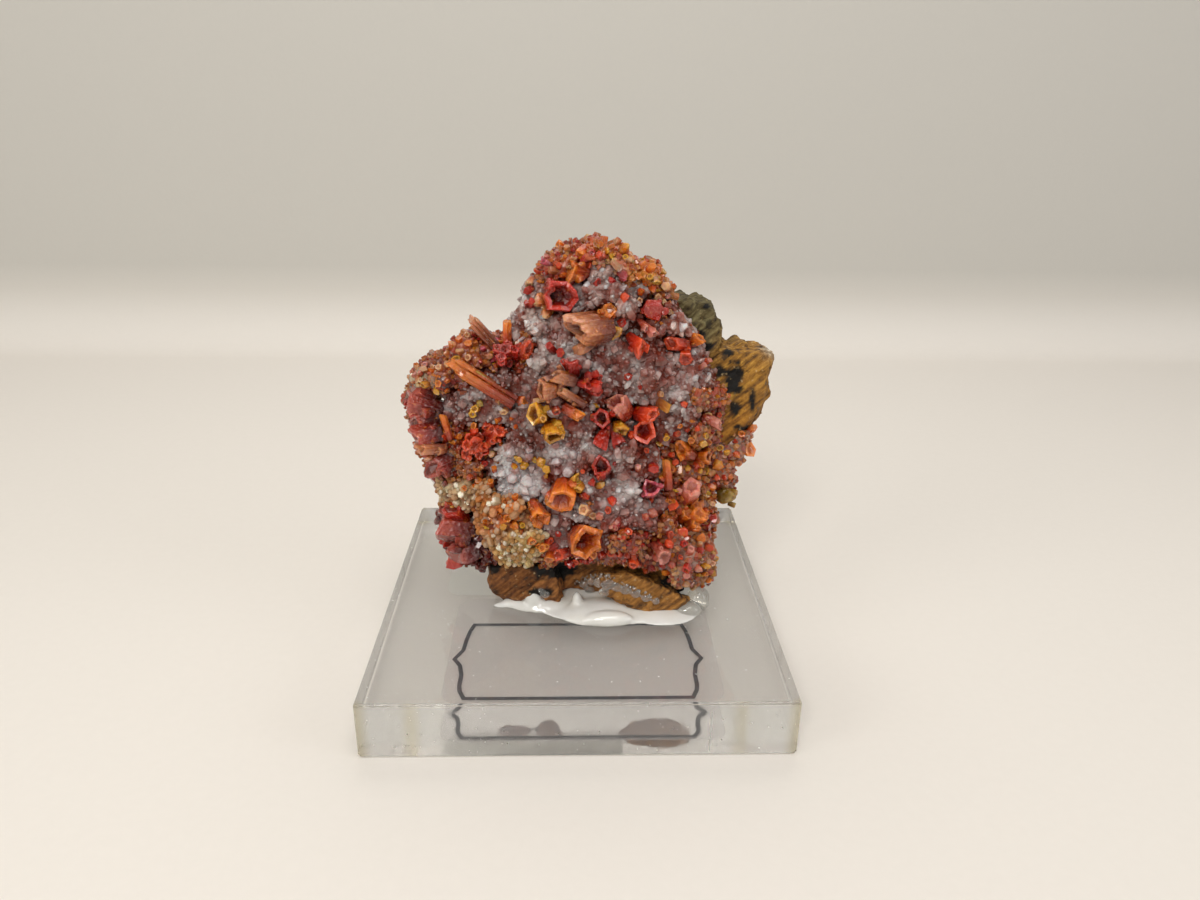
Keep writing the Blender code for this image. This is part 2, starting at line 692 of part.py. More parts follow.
def make_lump(name, outline, pitch, front, thickness, seed):
    """One lump of the rock, with a broken, faceted front."""
    cells, places = lattice(outline, pitch, pitch * LUMP_STRAY)
    pull_to_outline(cells, places, outline)
    cells = largest_patch(cells)
    dice = random.Random(seed)
    return sheet_solid(name, cells, places, "limonite", front, thickness, rock_form, dice)


def cut_level(thing, height):
    """Takes away what lies below this height in millimetres, and closes the cut."""
    builder = bmesh.new()
    builder.from_mesh(thing.data)
    everything = builder.verts[:] + builder.edges[:] + builder.faces[:]
    level = Vector((0, 0, height * MM))
    cut = bmesh.ops.bisect_plane(
        builder, geom=everything, plane_co=level, plane_no=(0, 0, -1), clear_outer=True
    )
    rim = [item for item in cut["geom_cut"] if isinstance(item, bmesh.types.BMEdge)]
    bmesh.ops.triangle_fill(builder, edges=rim, use_beauty=True)
    bmesh.ops.recalc_face_normals(builder, faces=builder.faces)
    builder.to_mesh(thing.data)
    builder.free()


def make_matrix():
    """The rock: the body behind the crusts, joined to the two chunks at the right."""
    rock = make_lump("matrix", ROCK_OUTLINE, ROCK_CELL, rock_front, rock_back, 3)
    cut_level(rock, ROCK_FOOT)
    chunks = (("ochre_chunk", OCHRE_OUTLINE, 4), ("olive_chunk", OLIVE_OUTLINE, 5))
    for name, outline, seed in chunks:
        chunk = make_lump(name, outline, CHUNK_CELL, chunk_front, chunk_back, seed)
        boolean(rock, "UNION", as_helper(chunk))
    return rock


def crystal_axis(crystal):
    """Unit vector from a crystal's foot to its tip."""
    clock = math.radians(crystal.clock)
    lean = math.radians(crystal.lean)
    aside = VIEW_RIGHT * math.cos(clock) + VIEW_UP * math.sin(clock)
    return -sight_line(crystal.u, crystal.v) * math.cos(lean) + aside * math.sin(lean)


def crystal_foot(crystal):
    """Middle of a crystal's foot, sunk a little into its crust."""
    sink = CRYSTAL_SINK * math.cos(math.radians(crystal.lean)) ** 0.5
    return spot(crystal.u, crystal.v, crust_depth(crystal.u, crystal.v)) - crystal_axis(crystal) * sink


def crystal_sides(crystal, axis):
    """Vectors from the axis to the six corners of a crystal of radius 1."""
    across = axis.cross(CRYSTAL_UPRIGHT).normalized()
    over = axis.cross(across) * crystal.flat
    angles = (math.tau * k / CRYSTAL_SIDES + math.radians(crystal.spin) for k in range(CRYSTAL_SIDES))
    return [across * math.cos(angle) + over * math.sin(angle) for angle in angles]


def crystal_solid(crystal, name):
    """One crystal: rings of six corners from the foot to the tip, and back inside where it is hollow."""
    axis = crystal_axis(crystal)
    foot = crystal_foot(crystal)
    builder = bmesh.new()
    ring = None
    for height, share in SHAPES[crystal.shape]:
        middle = foot + axis * height * crystal.length
        upper = [
            builder.verts.new(middle + side * share * crystal.radius)
            for side in crystal_sides(crystal, axis)
        ]
        if ring is None:
            builder.faces.new(upper)
        else:
            for i in range(CRYSTAL_SIDES):
                following = (i + 1) % CRYSTAL_SIDES
                builder.faces.new((ring[i], ring[following], upper[following], upper[i]))
        ring = upper
    builder.faces.new(ring)
    return object_of(name, builder, crystal.finish)


def make_crystals():
    """Every large crystal, with those that grew through each other joined, and a socket cutter for each."""
    made = {}
    cutters = []
    for number, crystal in enumerate(CRYSTALS):
        first = crystal.node not in made
        name = crystal.node if first else f"{crystal.node}_member_{number}"
        body = crystal_solid(crystal, name)
        cutters.append(socket_cutter(f"{name}_socket", crystal))
        if first:
            made[crystal.node] = body
        else:
            boolean(made[crystal.node], "UNION", as_helper(body))
    return list(made.values()), cutters


def socket_cutter(name, crystal):
    """The room that a crystal needs in a crust: a plain prism round it, open towards the front."""
    axis = crystal_axis(crystal)
    outward = -sight_line(crystal.u, crystal.v)
    reach = max(share for _, share in SHAPES[crystal.shape]) * crystal.radius + GAP * SOCKET_SHARE
    foot = crystal_foot(crystal) - axis * GAP
    upright = crystal.lean < STEEP_LEAN
    rings = (foot, foot + axis * (crystal.length + GAP + (SOCKET_REACH if upright else 0.0)))
    builder = bmesh.new()
    for middle in rings:
        for side in crystal_sides(crystal, axis):
            builder.verts.new(middle + side * reach)
            if not upright:
                builder.verts.new(middle + side * reach + outward * SOCKET_REACH)
    hull = bmesh.ops.convex_hull(builder, input=builder.verts)
    spare = []
    for item in hull["geom_interior"] + hull["geom_unused"]:
        if isinstance(item, bmesh.types.BMVert) and item not in spare:
            spare.append(item)
    bmesh.ops.delete(builder, geom=spare, context="VERTS")
    return as_helper(object_of(name, builder, crystal.finish))


def surface_of(thing):
    """A search tree of an object's triangles."""
    builder = bmesh.new()
    builder.from_mesh(thing.data)
    tree = BVHTree.FromBMesh(builder)
    builder.free()
    return tree


def cut_sockets(crusts, cutters):
    """Cuts each crystal's socket from the crusts that it reaches."""
    trees = [(cutter, surface_of(cutter)) for cutter in cutters]
    for crust in crusts:
        surface = surface_of(crust)
        for cutter, tree in trees:
            if surface.overlap(tree):
                boolean(crust, "DIFFERENCE", cutter)


def rounded_plate(name, size, centre, corner, bottom, top, finish):
    """An upright plate with rounded corners."""
    builder = bmesh.new()
    outline = []
    for sign_x, sign_y, start in ((1, 1, 0), (-1, 1, 90), (-1, -1, 180), (1, -1, 270)):
        for step in range(FILM_CORNER_STEPS + 1):
            angle = math.radians(start + 90 * step / FILM_CORNER_STEPS)
            x = centre[0] + sign_x * (size[0] / 2 - corner) + corner * math.cos(angle)
            y = centre[1] + sign_y * (size[1] / 2 - corner) + corner * math.sin(angle)
            outline.append((x, y))
    rings = [[builder.verts.new((x, y, z)) for x, y in outline] for z in (bottom, top)]
    count = len(outline)
    builder.faces.new(list(reversed(rings[0])))
    builder.faces.new(rings[1])
    for i in range(count):
        builder.faces.new((rings[0][i], rings[0][(i + 1) % count], rings[1][(i + 1) % count], rings[1][i]))
    return object_of(name, builder, finish)


def make_block():
    """The acrylic block, with a shallow recess under it for each of the two films."""
    builder = bmesh.new()
    bmesh.ops.create_cube(builder, size=1.0)
    bmesh.ops.scale(builder, vec=(BLOCK_SIDE, BLOCK_SIDE, BLOCK_THICKNESS), verts=builder.verts)
    bmesh.ops.translate(builder, vec=(0, 0, BLOCK_THICKNESS / 2), verts=builder.verts)
    bmesh.ops.bevel(builder, geom=builder.edges[:], offset=BLOCK_EDGE, segments=1, affect="EDGES")
    block = object_of("acrylic_block", builder, "clear_acrylic")
    films = (("label_film", LABEL_SIZE, LABEL_CENTRE, "clear_film"),
             ("pale_sticker", STICKER_SIZE, STICKER_CENTRE, "pale_film"))
    top = FILM_LIFT + FILM_THICKNESS
    for name, size, centre, finish in films:
        rounded_plate(name, size, centre, FILM_CORNER, FILM_LIFT, top, finish)
        room = [side + 2 * GAP for side in size]
        recess = rounded_plate(
            f"{name}_recess", room, centre, FILM_CORNER, RECESS_START, top + GAP, "clear_film"
        )
        boolean(block, "DIFFERENCE", as_helper(recess))
    return block


def make_glue(rock):
    """The puddle of glue, with the rock's foot pressed into it."""
    builder = bmesh.new()
    rings = []
    for height, share in GLUE_STEPS:
        ring = []
        for k in range(GLUE_SIDES):
            angle = math.tau * k / GLUE_SIDES
            wave = 1 + sum(height * math.sin(count * angle + phase) for height, count, phase in GLUE_WAVES)
            x = GLUE_CENTRE[0] + GLUE_REACH[0] * share * wave * math.cos(angle)
            y = GLUE_CENTRE[1] + GLUE_REACH[1] * share * wave * math.sin(angle)
            ring.append(builder.verts.new((x, y, BLOCK_THICKNESS + height)))
        rings.append(ring)
    builder.faces.new(rings[0])
    builder.faces.new(rings[-1])
    for lower, upper in zip(rings, rings[1:]):
        for i in range(GLUE_SIDES):
            following = (i + 1) % GLUE_SIDES
            builder.faces.new((lower[i], lower[following], upper[following], upper[i]))
    glue = object_of("glue", builder, "hot_glue")
    boolean(glue, "DIFFERENCE", grown_copy(rock, "glue_hollow", GAP * GLUE_CLEARANCE))
    return glue


def main():
    """Clears the scene and builds every piece."""
    for old in list(bpy.data.objects):
        bpy.data.objects.remove(old)
    noise.seed_set(NOISE_SEED)
    make_block()
    rock = make_matrix()
    make_glue(rock)
    crusts, room = make_crusts()
    boolean(rock, "DIFFERENCE", room)
    _, cutters = make_crystals()
    cut_sockets((rock, *crusts), cutters)


main()
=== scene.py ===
"""Visual model of a vanadinite specimen glued to a clear acrylic block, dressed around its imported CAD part.

Shapes are worked out in millimetres and written to the meshes in metres. +Z is up and the crystal face looks
along -Y. Places on the crystal face are given as (u, v) in pixels of a 1200 by 900 reference view.
"""

from __future__ import annotations

import json
import logging
import math
import random
from collections.abc import Callable, Sequence
from dataclasses import dataclass
from enum import Enum

import bmesh
import bpy
from mathutils import Matrix, Vector, noise
from mathutils.bvhtree import BVHTree

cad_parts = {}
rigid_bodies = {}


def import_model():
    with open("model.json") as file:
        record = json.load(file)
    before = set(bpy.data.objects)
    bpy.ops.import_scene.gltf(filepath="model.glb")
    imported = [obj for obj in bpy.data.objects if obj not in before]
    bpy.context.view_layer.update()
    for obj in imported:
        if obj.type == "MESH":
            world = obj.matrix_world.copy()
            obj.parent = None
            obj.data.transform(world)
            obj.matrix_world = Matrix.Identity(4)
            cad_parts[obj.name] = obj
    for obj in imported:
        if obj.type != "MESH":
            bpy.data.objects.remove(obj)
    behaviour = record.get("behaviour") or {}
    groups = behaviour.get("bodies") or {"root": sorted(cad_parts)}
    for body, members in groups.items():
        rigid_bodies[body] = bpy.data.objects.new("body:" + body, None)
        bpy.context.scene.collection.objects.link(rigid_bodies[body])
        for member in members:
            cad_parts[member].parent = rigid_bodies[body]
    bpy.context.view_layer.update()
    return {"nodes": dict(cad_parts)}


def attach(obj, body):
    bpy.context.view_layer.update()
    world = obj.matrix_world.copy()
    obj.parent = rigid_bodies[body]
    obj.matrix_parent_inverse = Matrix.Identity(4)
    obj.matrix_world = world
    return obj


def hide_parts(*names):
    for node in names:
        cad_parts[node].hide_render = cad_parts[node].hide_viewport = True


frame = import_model()
LOG = logging.getLogger("specimen")
MM = 0.001
WELD = 1e-6
SEED_SINK = 0.4
Colour = tuple[float, float, float]


def linear(code: str) -> Colour:
    """Linear colour of a six digit sRGB code."""
    parts = [int(code[i : i + 2], 16) / 255 for i in (0, 2, 4)]
    return tuple(p / 12.92 if p <= 0.04045 else ((p + 0.055) / 1.055) ** 2.4 for p in parts)


def blended(a: Colour, b: Colour, share: float) -> Colour:
    """Colour a moved towards colour b by this share."""
    return tuple(x + (y - x) * share for x, y in zip(a, b))


@dataclass(frozen=True)
class ReferenceView:
    """The eye from which the crystal face is laid out, and the lens of the camera that stands there."""

    eye: tuple[float, float, float] = (-0.79, -95.36, 63.49)
    focal: float = 904.2
    centre: tuple[float, float] = (600.0, 450.0)
    turn: float = math.radians(-1.93)
    tilt: float = math.radians(22.22)
    roll: float = math.radians(0.87)
    sensor: float = 36.0
    width: float = 1200.0

    def axes(self) -> tuple[Vector, Vector, Vector]:
        """Unit vectors to the right, up and ahead."""
        ahead = Vector((
            -math.sin(self.turn) * math.cos(self.tilt),
            math.cos(self.turn) * math.cos(self.tilt),
            -math.sin(self.tilt),
        ))
        level = Vector((math.cos(self.turn), math.sin(self.turn), 0))
        upright = level.cross(ahead)
        right = level * math.cos(self.roll) + upright * math.sin(self.roll)
        up = upright * math.cos(self.roll) - level * math.sin(self.roll)
        return right, up, ahead

    def sight(self, u: float, v: float) -> Vector:
        """Unit vector from the eye through a place in the view."""
        right, up, ahead = self.axes()
        across = (u - self.centre[0]) / self.focal
        down = (v - self.centre[1]) / self.focal
        return (ahead + right * across - up * down).normalized()

    def spot(self, u: float, v: float, depth: float) -> Vector:
        """The point at y = depth, in millimetres, that the view shows at (u, v)."""
        line = self.sight(u, v)
        eye = Vector(self.eye)
        return eye + line * ((depth - eye.y) / line.y)

    def seen(self, point: Vector) -> tuple[float, float]:
        """Where the view shows a point given in millimetres."""
        right, up, ahead = self.axes()
        line = point - Vector(self.eye)
        scale = self.focal / line.dot(ahead)
        return self.centre[0] + line.dot(right) * scale, self.centre[1] - line.dot(up) * scale

    def make_camera(self) -> bpy.types.Object:
        """Adds the camera and makes it the scene's own."""
        right, up, ahead = self.axes()
        data = bpy.data.cameras.new("camera")
        data.sensor_width = self.sensor
        data.lens = self.focal / self.width * self.sensor
        data.clip_start = 0.005
        data.clip_end = 5.0
        made = bpy.data.objects.new("camera", data)
        bpy.context.scene.collection.objects.link(made)
        turn = Matrix((right, up, -ahead)).transposed()
        made.matrix_world = Matrix.Translation(Vector(self.eye) * MM) @ turn.to_4x4()
        bpy.context.scene.camera = made
        return made


VIEW = ReferenceView()


def within(outline: Sequence[tuple[float, float]], u: float, v: float) -> bool:
    """True where (u, v) lies inside the outline."""
    result = False
    for i, (u0, v0) in enumerate(outline):
        u1, v1 = outline[(i + 1) % len(outline)]
        if (v0 > v) != (v1 > v) and u < (u1 - u0) * (v - v0) / (v1 - v0) + u0:
            result = not result
    return result


@dataclass(frozen=True)
class CrystalFace:
    """The mean surface of the crystal crusts: its depth at named places and its outline, in view pixels."""

    places: tuple[tuple[float, float, float], ...] = (
        (600, 248, -1.5), (538, 288, -2.2), (656, 282, -1.8), (598, 325, -5.0), (690, 345, -2.6),
        (635, 368, -4.6), (415, 400, -0.8), (465, 350, -2.4), (510, 385, -4.6), (575, 400, -7.0),
        (682, 425, -4.6), (742, 440, 1.0), (600, 470, -8.0), (470, 465, -3.8), (515, 545, -8.0),
        (450, 535, -2.2), (600, 555, -8.8), (680, 560, -7.2), (718, 530, -2.6), (600, 605, -8.4),
        (500, 600, -7.0), (700, 600, -6.6),
    )
    outline: tuple[tuple[float, float], ...] = (
        (567, 243), (586, 239), (608, 241), (629, 254), (659, 267), (674, 280), (680, 305), (693, 330),
        (706, 352), (713, 375), (722, 398), (730, 420), (752, 432), (751, 452), (737, 466), (732, 488),
        (717, 507), (716, 530), (712, 545), (720, 570), (713, 587), (690, 592), (665, 578), (640, 568),
        (610, 560), (580, 565), (550, 563), (530, 562), (505, 562), (490, 552), (479, 568), (460, 565),
        (447, 545), (435, 522), (444, 508), (437, 490), (436, 474), (425, 458), (415, 448), (414, 430),
        (403, 415), (404, 385), (411, 367), (440, 358), (452, 342), (471, 331), (498, 340), (514, 335),
        (519, 310), (525, 286), (546, 260),
    )
    softness: float = 60.0
    edge_width: float = 26.0
    edge_drop: float = 2.2

    def rim_distance(self, u: float, v: float) -> float:
        """Distance in pixels to the outline, 0 outside it."""
        if not within(self.outline, u, v):
            return 0.0
        place = Vector((u, v))
        best = math.inf
        for i, start in enumerate(self.outline):
            a = Vector(start)
            b = Vector(self.outline[(i + 1) % len(self.outline)])
            along = min(1.0, max(0.0, (place - a).dot(b - a) / (b - a).length_squared))
            best = min(best, (place - a - (b - a) * along).length)
        return best

    def depth(self, u: float, v: float) -> float:
        """Depth y in millimetres of the face at (u, v)."""
        total = 0.0
        weight = 0.0
        for place_u, place_v, depth in self.places:
            share = 1.0 / (self.softness + (u - place_u) ** 2 + (v - place_v) ** 2) ** 1.6
            total += share * depth
            weight += share
        roll = 1.0 - min(1.0, self.rim_distance(u, v) / self.edge_width)
        return total / weight + self.edge_drop * roll * roll

    def point(self, u: float, v: float) -> Vector:
        """The point of the face at (u, v), in millimetres."""
        return VIEW.spot(u, v, self.depth(u, v))


FACE = CrystalFace()


@dataclass(frozen=True)
class Patch:
    """An area of a surface with its own colour, mostly a stain and in one case a painted shadow: where it is in
    the view, how far it reaches in pixels and its colour.
    """

    name: str
    u: float
    v: float
    reach: float
    code: str


DRUSE_PATCHES = (
    Patch("crown pale", 600, 272, 16, "E6C0B5"),
    Patch("crown left rim", 531, 305, 15, "E4C1B6"),
    Patch("crown right rim", 672, 312, 15, "DD9C88"),
    Patch("left field", 535, 332, 18, "D2AFA4"),
    # Painted shadow that the lying barrel crystal casts on the druse below it.
    Patch("painted shadow under the barrel", 600, 362, 20, "8E5951"),
    Patch("mid crown", 610, 305, 16, "B87F72"),
    Patch("right field", 650, 372, 20, "AC776D"),
    Patch("right rim", 695, 362, 16, "C78677"),
    Patch("wing hollow", 500, 378, 16, "784840"),
    Patch("wing purple", 450, 410, 20, "865956"),
    Patch("heart", 575, 425, 18, "845149"),
    Patch("left dark", 525, 440, 14, "703525"),
    Patch("white left", 512, 478, 18, "F4EAEA"),
    Patch("white middle", 562, 463, 13, "EADADA"),
    Patch("mauve low", 550, 510, 16, "AE7773"),
    Patch("centre", 600, 455, 16, "B07A6F"),
    Patch("centre low", 620, 492, 16, "D0A9A4"),
    Patch("brown right", 680, 425, 18, "82341F"),
    Patch("warm right", 655, 455, 14, "9A4D3A"),
    Patch("low dark", 610, 540, 16, "923722"),
    Patch("low pale", 685, 568, 14, "C0826C"),
    Patch("flank pale", 728, 452, 14, "B88B7A"),
    Patch("left low", 475, 530, 16, "865954"),
    Patch("left low field", 490, 445, 12, "C89785"),
)


def patched(patches: Sequence[Patch], u: float, v: float) -> Colour:
    """Colour of the patches blended at (u, v), each by its reach."""
    total = [0.0, 0.0, 0.0]
    weight = 0.0
    for patch in patches:
        share = (1.0 + ((u - patch.u) ** 2 + (v - patch.v) ** 2) / patch.reach**2) ** -2.4
        weight += share
        for i, part in enumerate(linear(patch.code)):
            total[i] += part * share
    return tuple(part / weight for part in total)


def mesh_of(name: str, builder: bmesh.types.BMesh) -> bpy.types.Mesh:
    """Writes a builder's faces to a new mesh and frees the builder."""
    mesh = bpy.data.meshes.new(name)
    builder.to_mesh(mesh)
    builder.free()
    return mesh


def band(builder: bmesh.types.BMesh, lower: list, upper: list) -> None:
    """Joins two rings of corners with a band of faces."""
    for i, corner in enumerate(lower):
        following = (i + 1) % len(lower)
        builder.faces.new((corner, lower[following], upper[following], upper[i]))


def set_stops(ramp: bpy.types.ColorRamp, stops: Sequence[tuple[float, Colour]]) -> None:
    """Gives a colour ramp these positions and colours."""
    while len(ramp.elements) < len(stops):
        ramp.elements.new(0.5)
    for element, (position, colour) in zip(ramp.elements, stops):
        element.position = position
        element.color = (*colour, 1)


def stacked(builder: bmesh.types.BMesh, rings: Sequence[list], apex: bmesh.types.BMVert | None = None) -> None:
    """Closes a stack of rings with a foot, bands, and a flat top or faces that meet at an apex."""
    builder.faces.new(list(reversed(rings[0])))
    for lower, upper in zip(rings, rings[1:]):
        band(builder, lower, upper)
    top = rings[-1]
    if apex is None:
        builder.faces.new(top)
        return
    for i, corner in enumerate(top):
        builder.faces.new((corner, top[(i + 1) % len(top)], apex))


class NodeBench:
    """Places and wires the nodes of one tree."""

    def __init__(self, tree: bpy.types.NodeTree) -> None:
        """Takes the tree to work on."""
        self.tree = tree

    def add(self, kind: str, inputs: dict | None = None, **settings: object) -> bpy.types.Node:
        """Adds a node.

        Args:
            kind: the node's type.
            inputs: value or socket for each input, by name or number.
            settings: the node's own properties.

        Returns:
            The node.
        """
        node = self.tree.nodes.new(kind)
        for key, value in settings.items():
            setattr(node, key, value)
        for key, value in (inputs or {}).items():
            if isinstance(value, bpy.types.NodeSocket):
                self.tree.links.new(value, node.inputs[key])
            else:
                node.inputs[key].default_value = value
        return node

    def sum(self, a: object, b: object, operation: str = "ADD") -> bpy.types.NodeSocket:
        """Two numbers put together by a Math node."""
        return self.add("ShaderNodeMath", {0: a, 1: b}, operation=operation).outputs[0]


class ShaderBench(NodeBench):
    """Places and wires the nodes of one material."""

    def __init__(self, name: str) -> None:
        """Starts a material with its Principled shader and its object coordinates."""
        self.material = bpy.data.materials.new(name)
        self.material.use_nodes = True
        super().__init__(self.material.node_tree)
        self.shader = self.tree.nodes["Principled BSDF"]
        self.place = self.add("ShaderNodeTexCoord").outputs["Object"]

    def set(self, **values: object) -> None:
        """Sets or wires inputs of the Principled shader, with _ for a space in the name."""
        for key, value in values.items():
            socket = self.shader.inputs[key.replace("_", " ")]
            if isinstance(value, bpy.types.NodeSocket):
                self.tree.links.new(value, socket)
            elif isinstance(value, tuple) and socket.type == "RGBA":
                socket.default_value = (*value, 1)
            else:
                socket.default_value = value

    def noise(self, scale: float, detail: float = 3.0, rough: float = 0.55,
              stretch: tuple | None = None) -> bpy.types.NodeSocket:
        """Noise from 0 to 1 in object space.

        Args:
            scale: waves per metre.
            detail: octaves.
            rough: how strong the fine octaves are.
            stretch: share of the scale along each axis.

        Returns:
            The factor socket.
        """
        vector = self.place
        if stretch:
            vector = self.add("ShaderNodeMapping", {"Vector": vector, "Scale": stretch}).outputs[0]
        settings = {"Vector": vector, "Scale": scale, "Detail": detail, "Roughness": rough}
        return self.add("ShaderNodeTexNoise", settings).outputs[0]

    def cells(self, scale: float) -> bpy.types.NodeSocket:
        """Distance to the nearest of scattered points in object space, as for facets."""
        return self.add("ShaderNodeTexVoronoi", {"Vector": self.place, "Scale": scale}).outputs["Distance"]

    def ramp(self, factor: bpy.types.NodeSocket, *stops: tuple[float, Colour]) -> bpy.types.NodeSocket:
        """Colour along these stops."""
        node = self.add("ShaderNodeValToRGB", {0: factor})
        set_stops(node.color_ramp, stops)
        return node.outputs[0]

    def level(self, factor: bpy.types.NodeSocket, low: float, high: float, start: float = 0.0,
              end: float = 1.0) -> bpy.types.NodeSocket:
        """A factor remapped from low..high to start..end, held at the ends."""
        return self.add("ShaderNodeMapRange", {0: factor, 1: low, 2: high, 3: start, 4: end}).outputs[0]

    def mix(self, factor: object, a: object, b: object, blend: str = "MIX") -> bpy.types.NodeSocket:
        """Two colours mixed by a factor."""
        node = self.add("ShaderNodeMix", {0: factor}, data_type="RGBA", blend_type=blend)
        for key, value in ((6, a), (7, b)):
            if isinstance(value, bpy.types.NodeSocket):
                self.tree.links.new(value, node.inputs[key])
            else:
                node.inputs[key].default_value = (*value, 1)
        return node.outputs[2]

    def attribute(self, name: str, output: str = "Color") -> bpy.types.NodeSocket:
        """A value that the mesh carries."""
        return self.add("ShaderNodeAttribute", attribute_name=name).outputs[output]

    def bump(self, height: bpy.types.NodeSocket, distance: float) -> None:
        """Wires a height to the shader's normal; distance is its depth in metres."""
        self.set(Normal=self.add("ShaderNodeBump", {"Height": height, "Distance": distance}).outputs[0])


@dataclass(frozen=True)
class Acrylic:
    """Clear cast acrylic: bright faces with fine brushed lines, and sawn edges with streaks."""

    name: str = "clear_acrylic"
    side: float = 44.45
    index: float = 1.49
    clear: float = 0.94

    def make(self) -> bpy.types.Material:
        """Builds the material."""
        bench = ShaderBench(self.name)
        corner = bench.add("ShaderNodeVectorMath", {0: bench.place, 1: (1.0, 1.0, 0.0)}, operation="MULTIPLY")
        far = bench.add("ShaderNodeVectorMath", {0: corner.outputs[0]}, operation="LENGTH").outputs["Value"]
        dirt = bench.level(far, self.side * 0.684 * MM, self.side * 0.7 * MM)
        tone = bench.mix(dirt, linear("FFFFFE"), linear("E2D8B8"))
        bench.set(Base_Color=tone, IOR=self.index, Transmission_Weight=self.clear)
        brushed = bench.noise(900.0, 2.0, 0.6, (1.0, 0.02, 1.0))
        specks = bench.level(bench.noise(2600.0, 2.0), 0.70, 0.78)
        streaks = bench.level(bench.noise(700.0, 3.0, 0.7, (1.0, 1.0, 0.03)), 0.46, 0.72)
        away = bench.add("ShaderNodeVectorMath", {0: bench.place}, operation="ABSOLUTE").outputs[0]
        split = bench.add("ShaderNodeSeparateXYZ", {0: away})
        farthest = bench.sum(split.outputs["X"], split.outputs["Y"], "MAXIMUM")
        upright = bench.sum(farthest, (self.side / 2 - 0.02) * MM, "GREATER_THAN")
        sides = bench.sum(bench.level(streaks, 0, 1, 0.04, 0.32), upright, "MULTIPLY")
        rough = bench.sum(bench.level(brushed, 0.45, 0.8, 0.0, 0.035), bench.sum(sides, specks, "MAXIMUM"))
        bench.set(Roughness=bench.sum(rough, 0.4, "MINIMUM"))
        bench.bump(bench.sum(brushed, bench.sum(streaks, upright, "MULTIPLY")), 0.000004)
        return bench.material


@dataclass(frozen=True)
class Film:
    """A thin printed or blank film: pale haze that lets the ground through."""

    name: str
    colour: Colour
    cover: float

    def make(self) -> bpy.types.Material:
        """Builds the material."""
        bench = ShaderBench(self.name)
        cloud = bench.noise(260.0, 3.0)
        bench.set(
            Base_Color=bench.mix(cloud, self.colour, blended(self.colour, (1, 1, 1), 0.3)),
            Roughness=0.4,
            Alpha=self.cover,
        )
        return bench.material


@dataclass(frozen=True)
class Ink:
    """Dark printed ink, a little worn."""

    name: str = "printed_ink"

    def make(self) -> bpy.types.Material:
        """Builds the material."""
        bench = ShaderBench(self.name)
        worn = bench.noise(1500.0, 3.0)
        tone = bench.ramp(worn, (0.35, linear("2A2D33")), (0.75, linear("4A4D54")))
        bench.set(Base_Color=tone, Roughness=0.6)
        return bench.material


@dataclass(frozen=True)
class Glue:
    """Glossy hot glue, milky or clear."""

    name: str = "hot_glue"
    clear: float = 0.12
    milk: float = 0.35

    def make(self) -> bpy.types.Material:
        """Builds the material."""
        bench = ShaderBench(self.name)
        cloud = bench.noise(260.0, 3.0, 0.6)
        bench.set(
            Base_Color=bench.ramp(cloud, (0.35, linear("FDFCF6")), (0.7, linear("F3F1E8"))),
            Roughness=bench.level(cloud, 0.3, 0.7, 0.02, 0.09),
            IOR=1.46,
            Transmission_Weight=self.clear,
            Subsurface_Weight=self.milk,
            Subsurface_Scale=0.0012,
            Subsurface_Radius=(1.0, 1.0, 0.95),
            Coat_Weight=0.7,
            Coat_Roughness=0.02,
        )
        bench.bump(bench.noise(420.0, 1.0), 0.00002)
        return bench.material


@dataclass(frozen=True)
class Limonite:
    """Fibrous brown rock whose zones of colour come from the mesh."""

    name: str = "limonite"

    def make(self) -> bpy.types.Material:
        """Builds the material."""
        bench = ShaderBench(self.name)
        turned = bench.add("ShaderNodeMapping", {"Vector": bench.place, "Rotation": (0.0, 0.7, 0.0)}).outputs[0]
        combed = bench.add("ShaderNodeMapping", {"Vector": turned, "Scale": (0.07, 1.0, 1.0)}).outputs[0]
        fibre = bench.add("ShaderNodeTexNoise", {"Vector": combed, "Scale": 2000.0, "Detail": 5.0}).outputs[0]
        grain = bench.noise(1500.0, 5.0, 0.7)
        both = bench.sum(bench.sum(fibre, 0.66, "MULTIPLY"), bench.sum(grain, 0.34, "MULTIPLY"))
        shade = bench.ramp(both, (0.36, linear("54463A")), (0.5, linear("C4B8A8")), (0.62, linear("FFFFFF")))
        colour = bench.mix(1.0, bench.attribute("tint"), shade, "MULTIPLY")
        dark = bench.level(bench.noise(520.0, 4.0, 0.6), 0.6, 0.68, 0.0, 0.75)
        colour = bench.mix(dark, colour, linear("1E1712"))
        light = bench.level(bench.noise(1900.0, 3.0), 0.64, 0.74, 0.0, 0.4)
        colour = bench.mix(light, colour, linear("D9BE8C"))
        bench.set(Base_Color=colour, Roughness=bench.level(both, 0.3, 0.7, 0.55, 0.9), Specular_IOR_Level=0.35)
        bench.bump(both, 0.0003)
        return bench.material


@dataclass(frozen=True)
class Quartz:
    """Glassy druse quartz whose stains and painted shade come from the mesh."""

    name: str
    clear: float = 0.3

    def make(self) -> bpy.types.Material:
        """Builds the material."""
        bench = ShaderBench(self.name)
        patch = bench.noise(420.0, 4.0, 0.6)
        colour = bench.mix(bench.level(patch, 0.52, 0.66, 0.0, 0.55), bench.attribute("tint"), linear("FFF2EE"))
        colour = bench.mix(bench.level(patch, 0.5, 0.37, 0.0, 0.8), colour, linear("862C16"))
        facets = bench.cells(1300.0)
        bench.set(
            Base_Color=colour,
            Roughness=bench.level(bench.noise(2400.0), 0.4, 0.7, 0.05, 0.2),
            IOR=1.55,
            Transmission_Weight=self.clear,
            Subsurface_Weight=0.45,
            Subsurface_Scale=0.0014,
            Subsurface_Radius=(1.0, 0.55, 0.48),
        )
        bench.bump(bench.sum(facets, bench.noise(2600.0, 3.0)), 0.00012)
        return bench.material


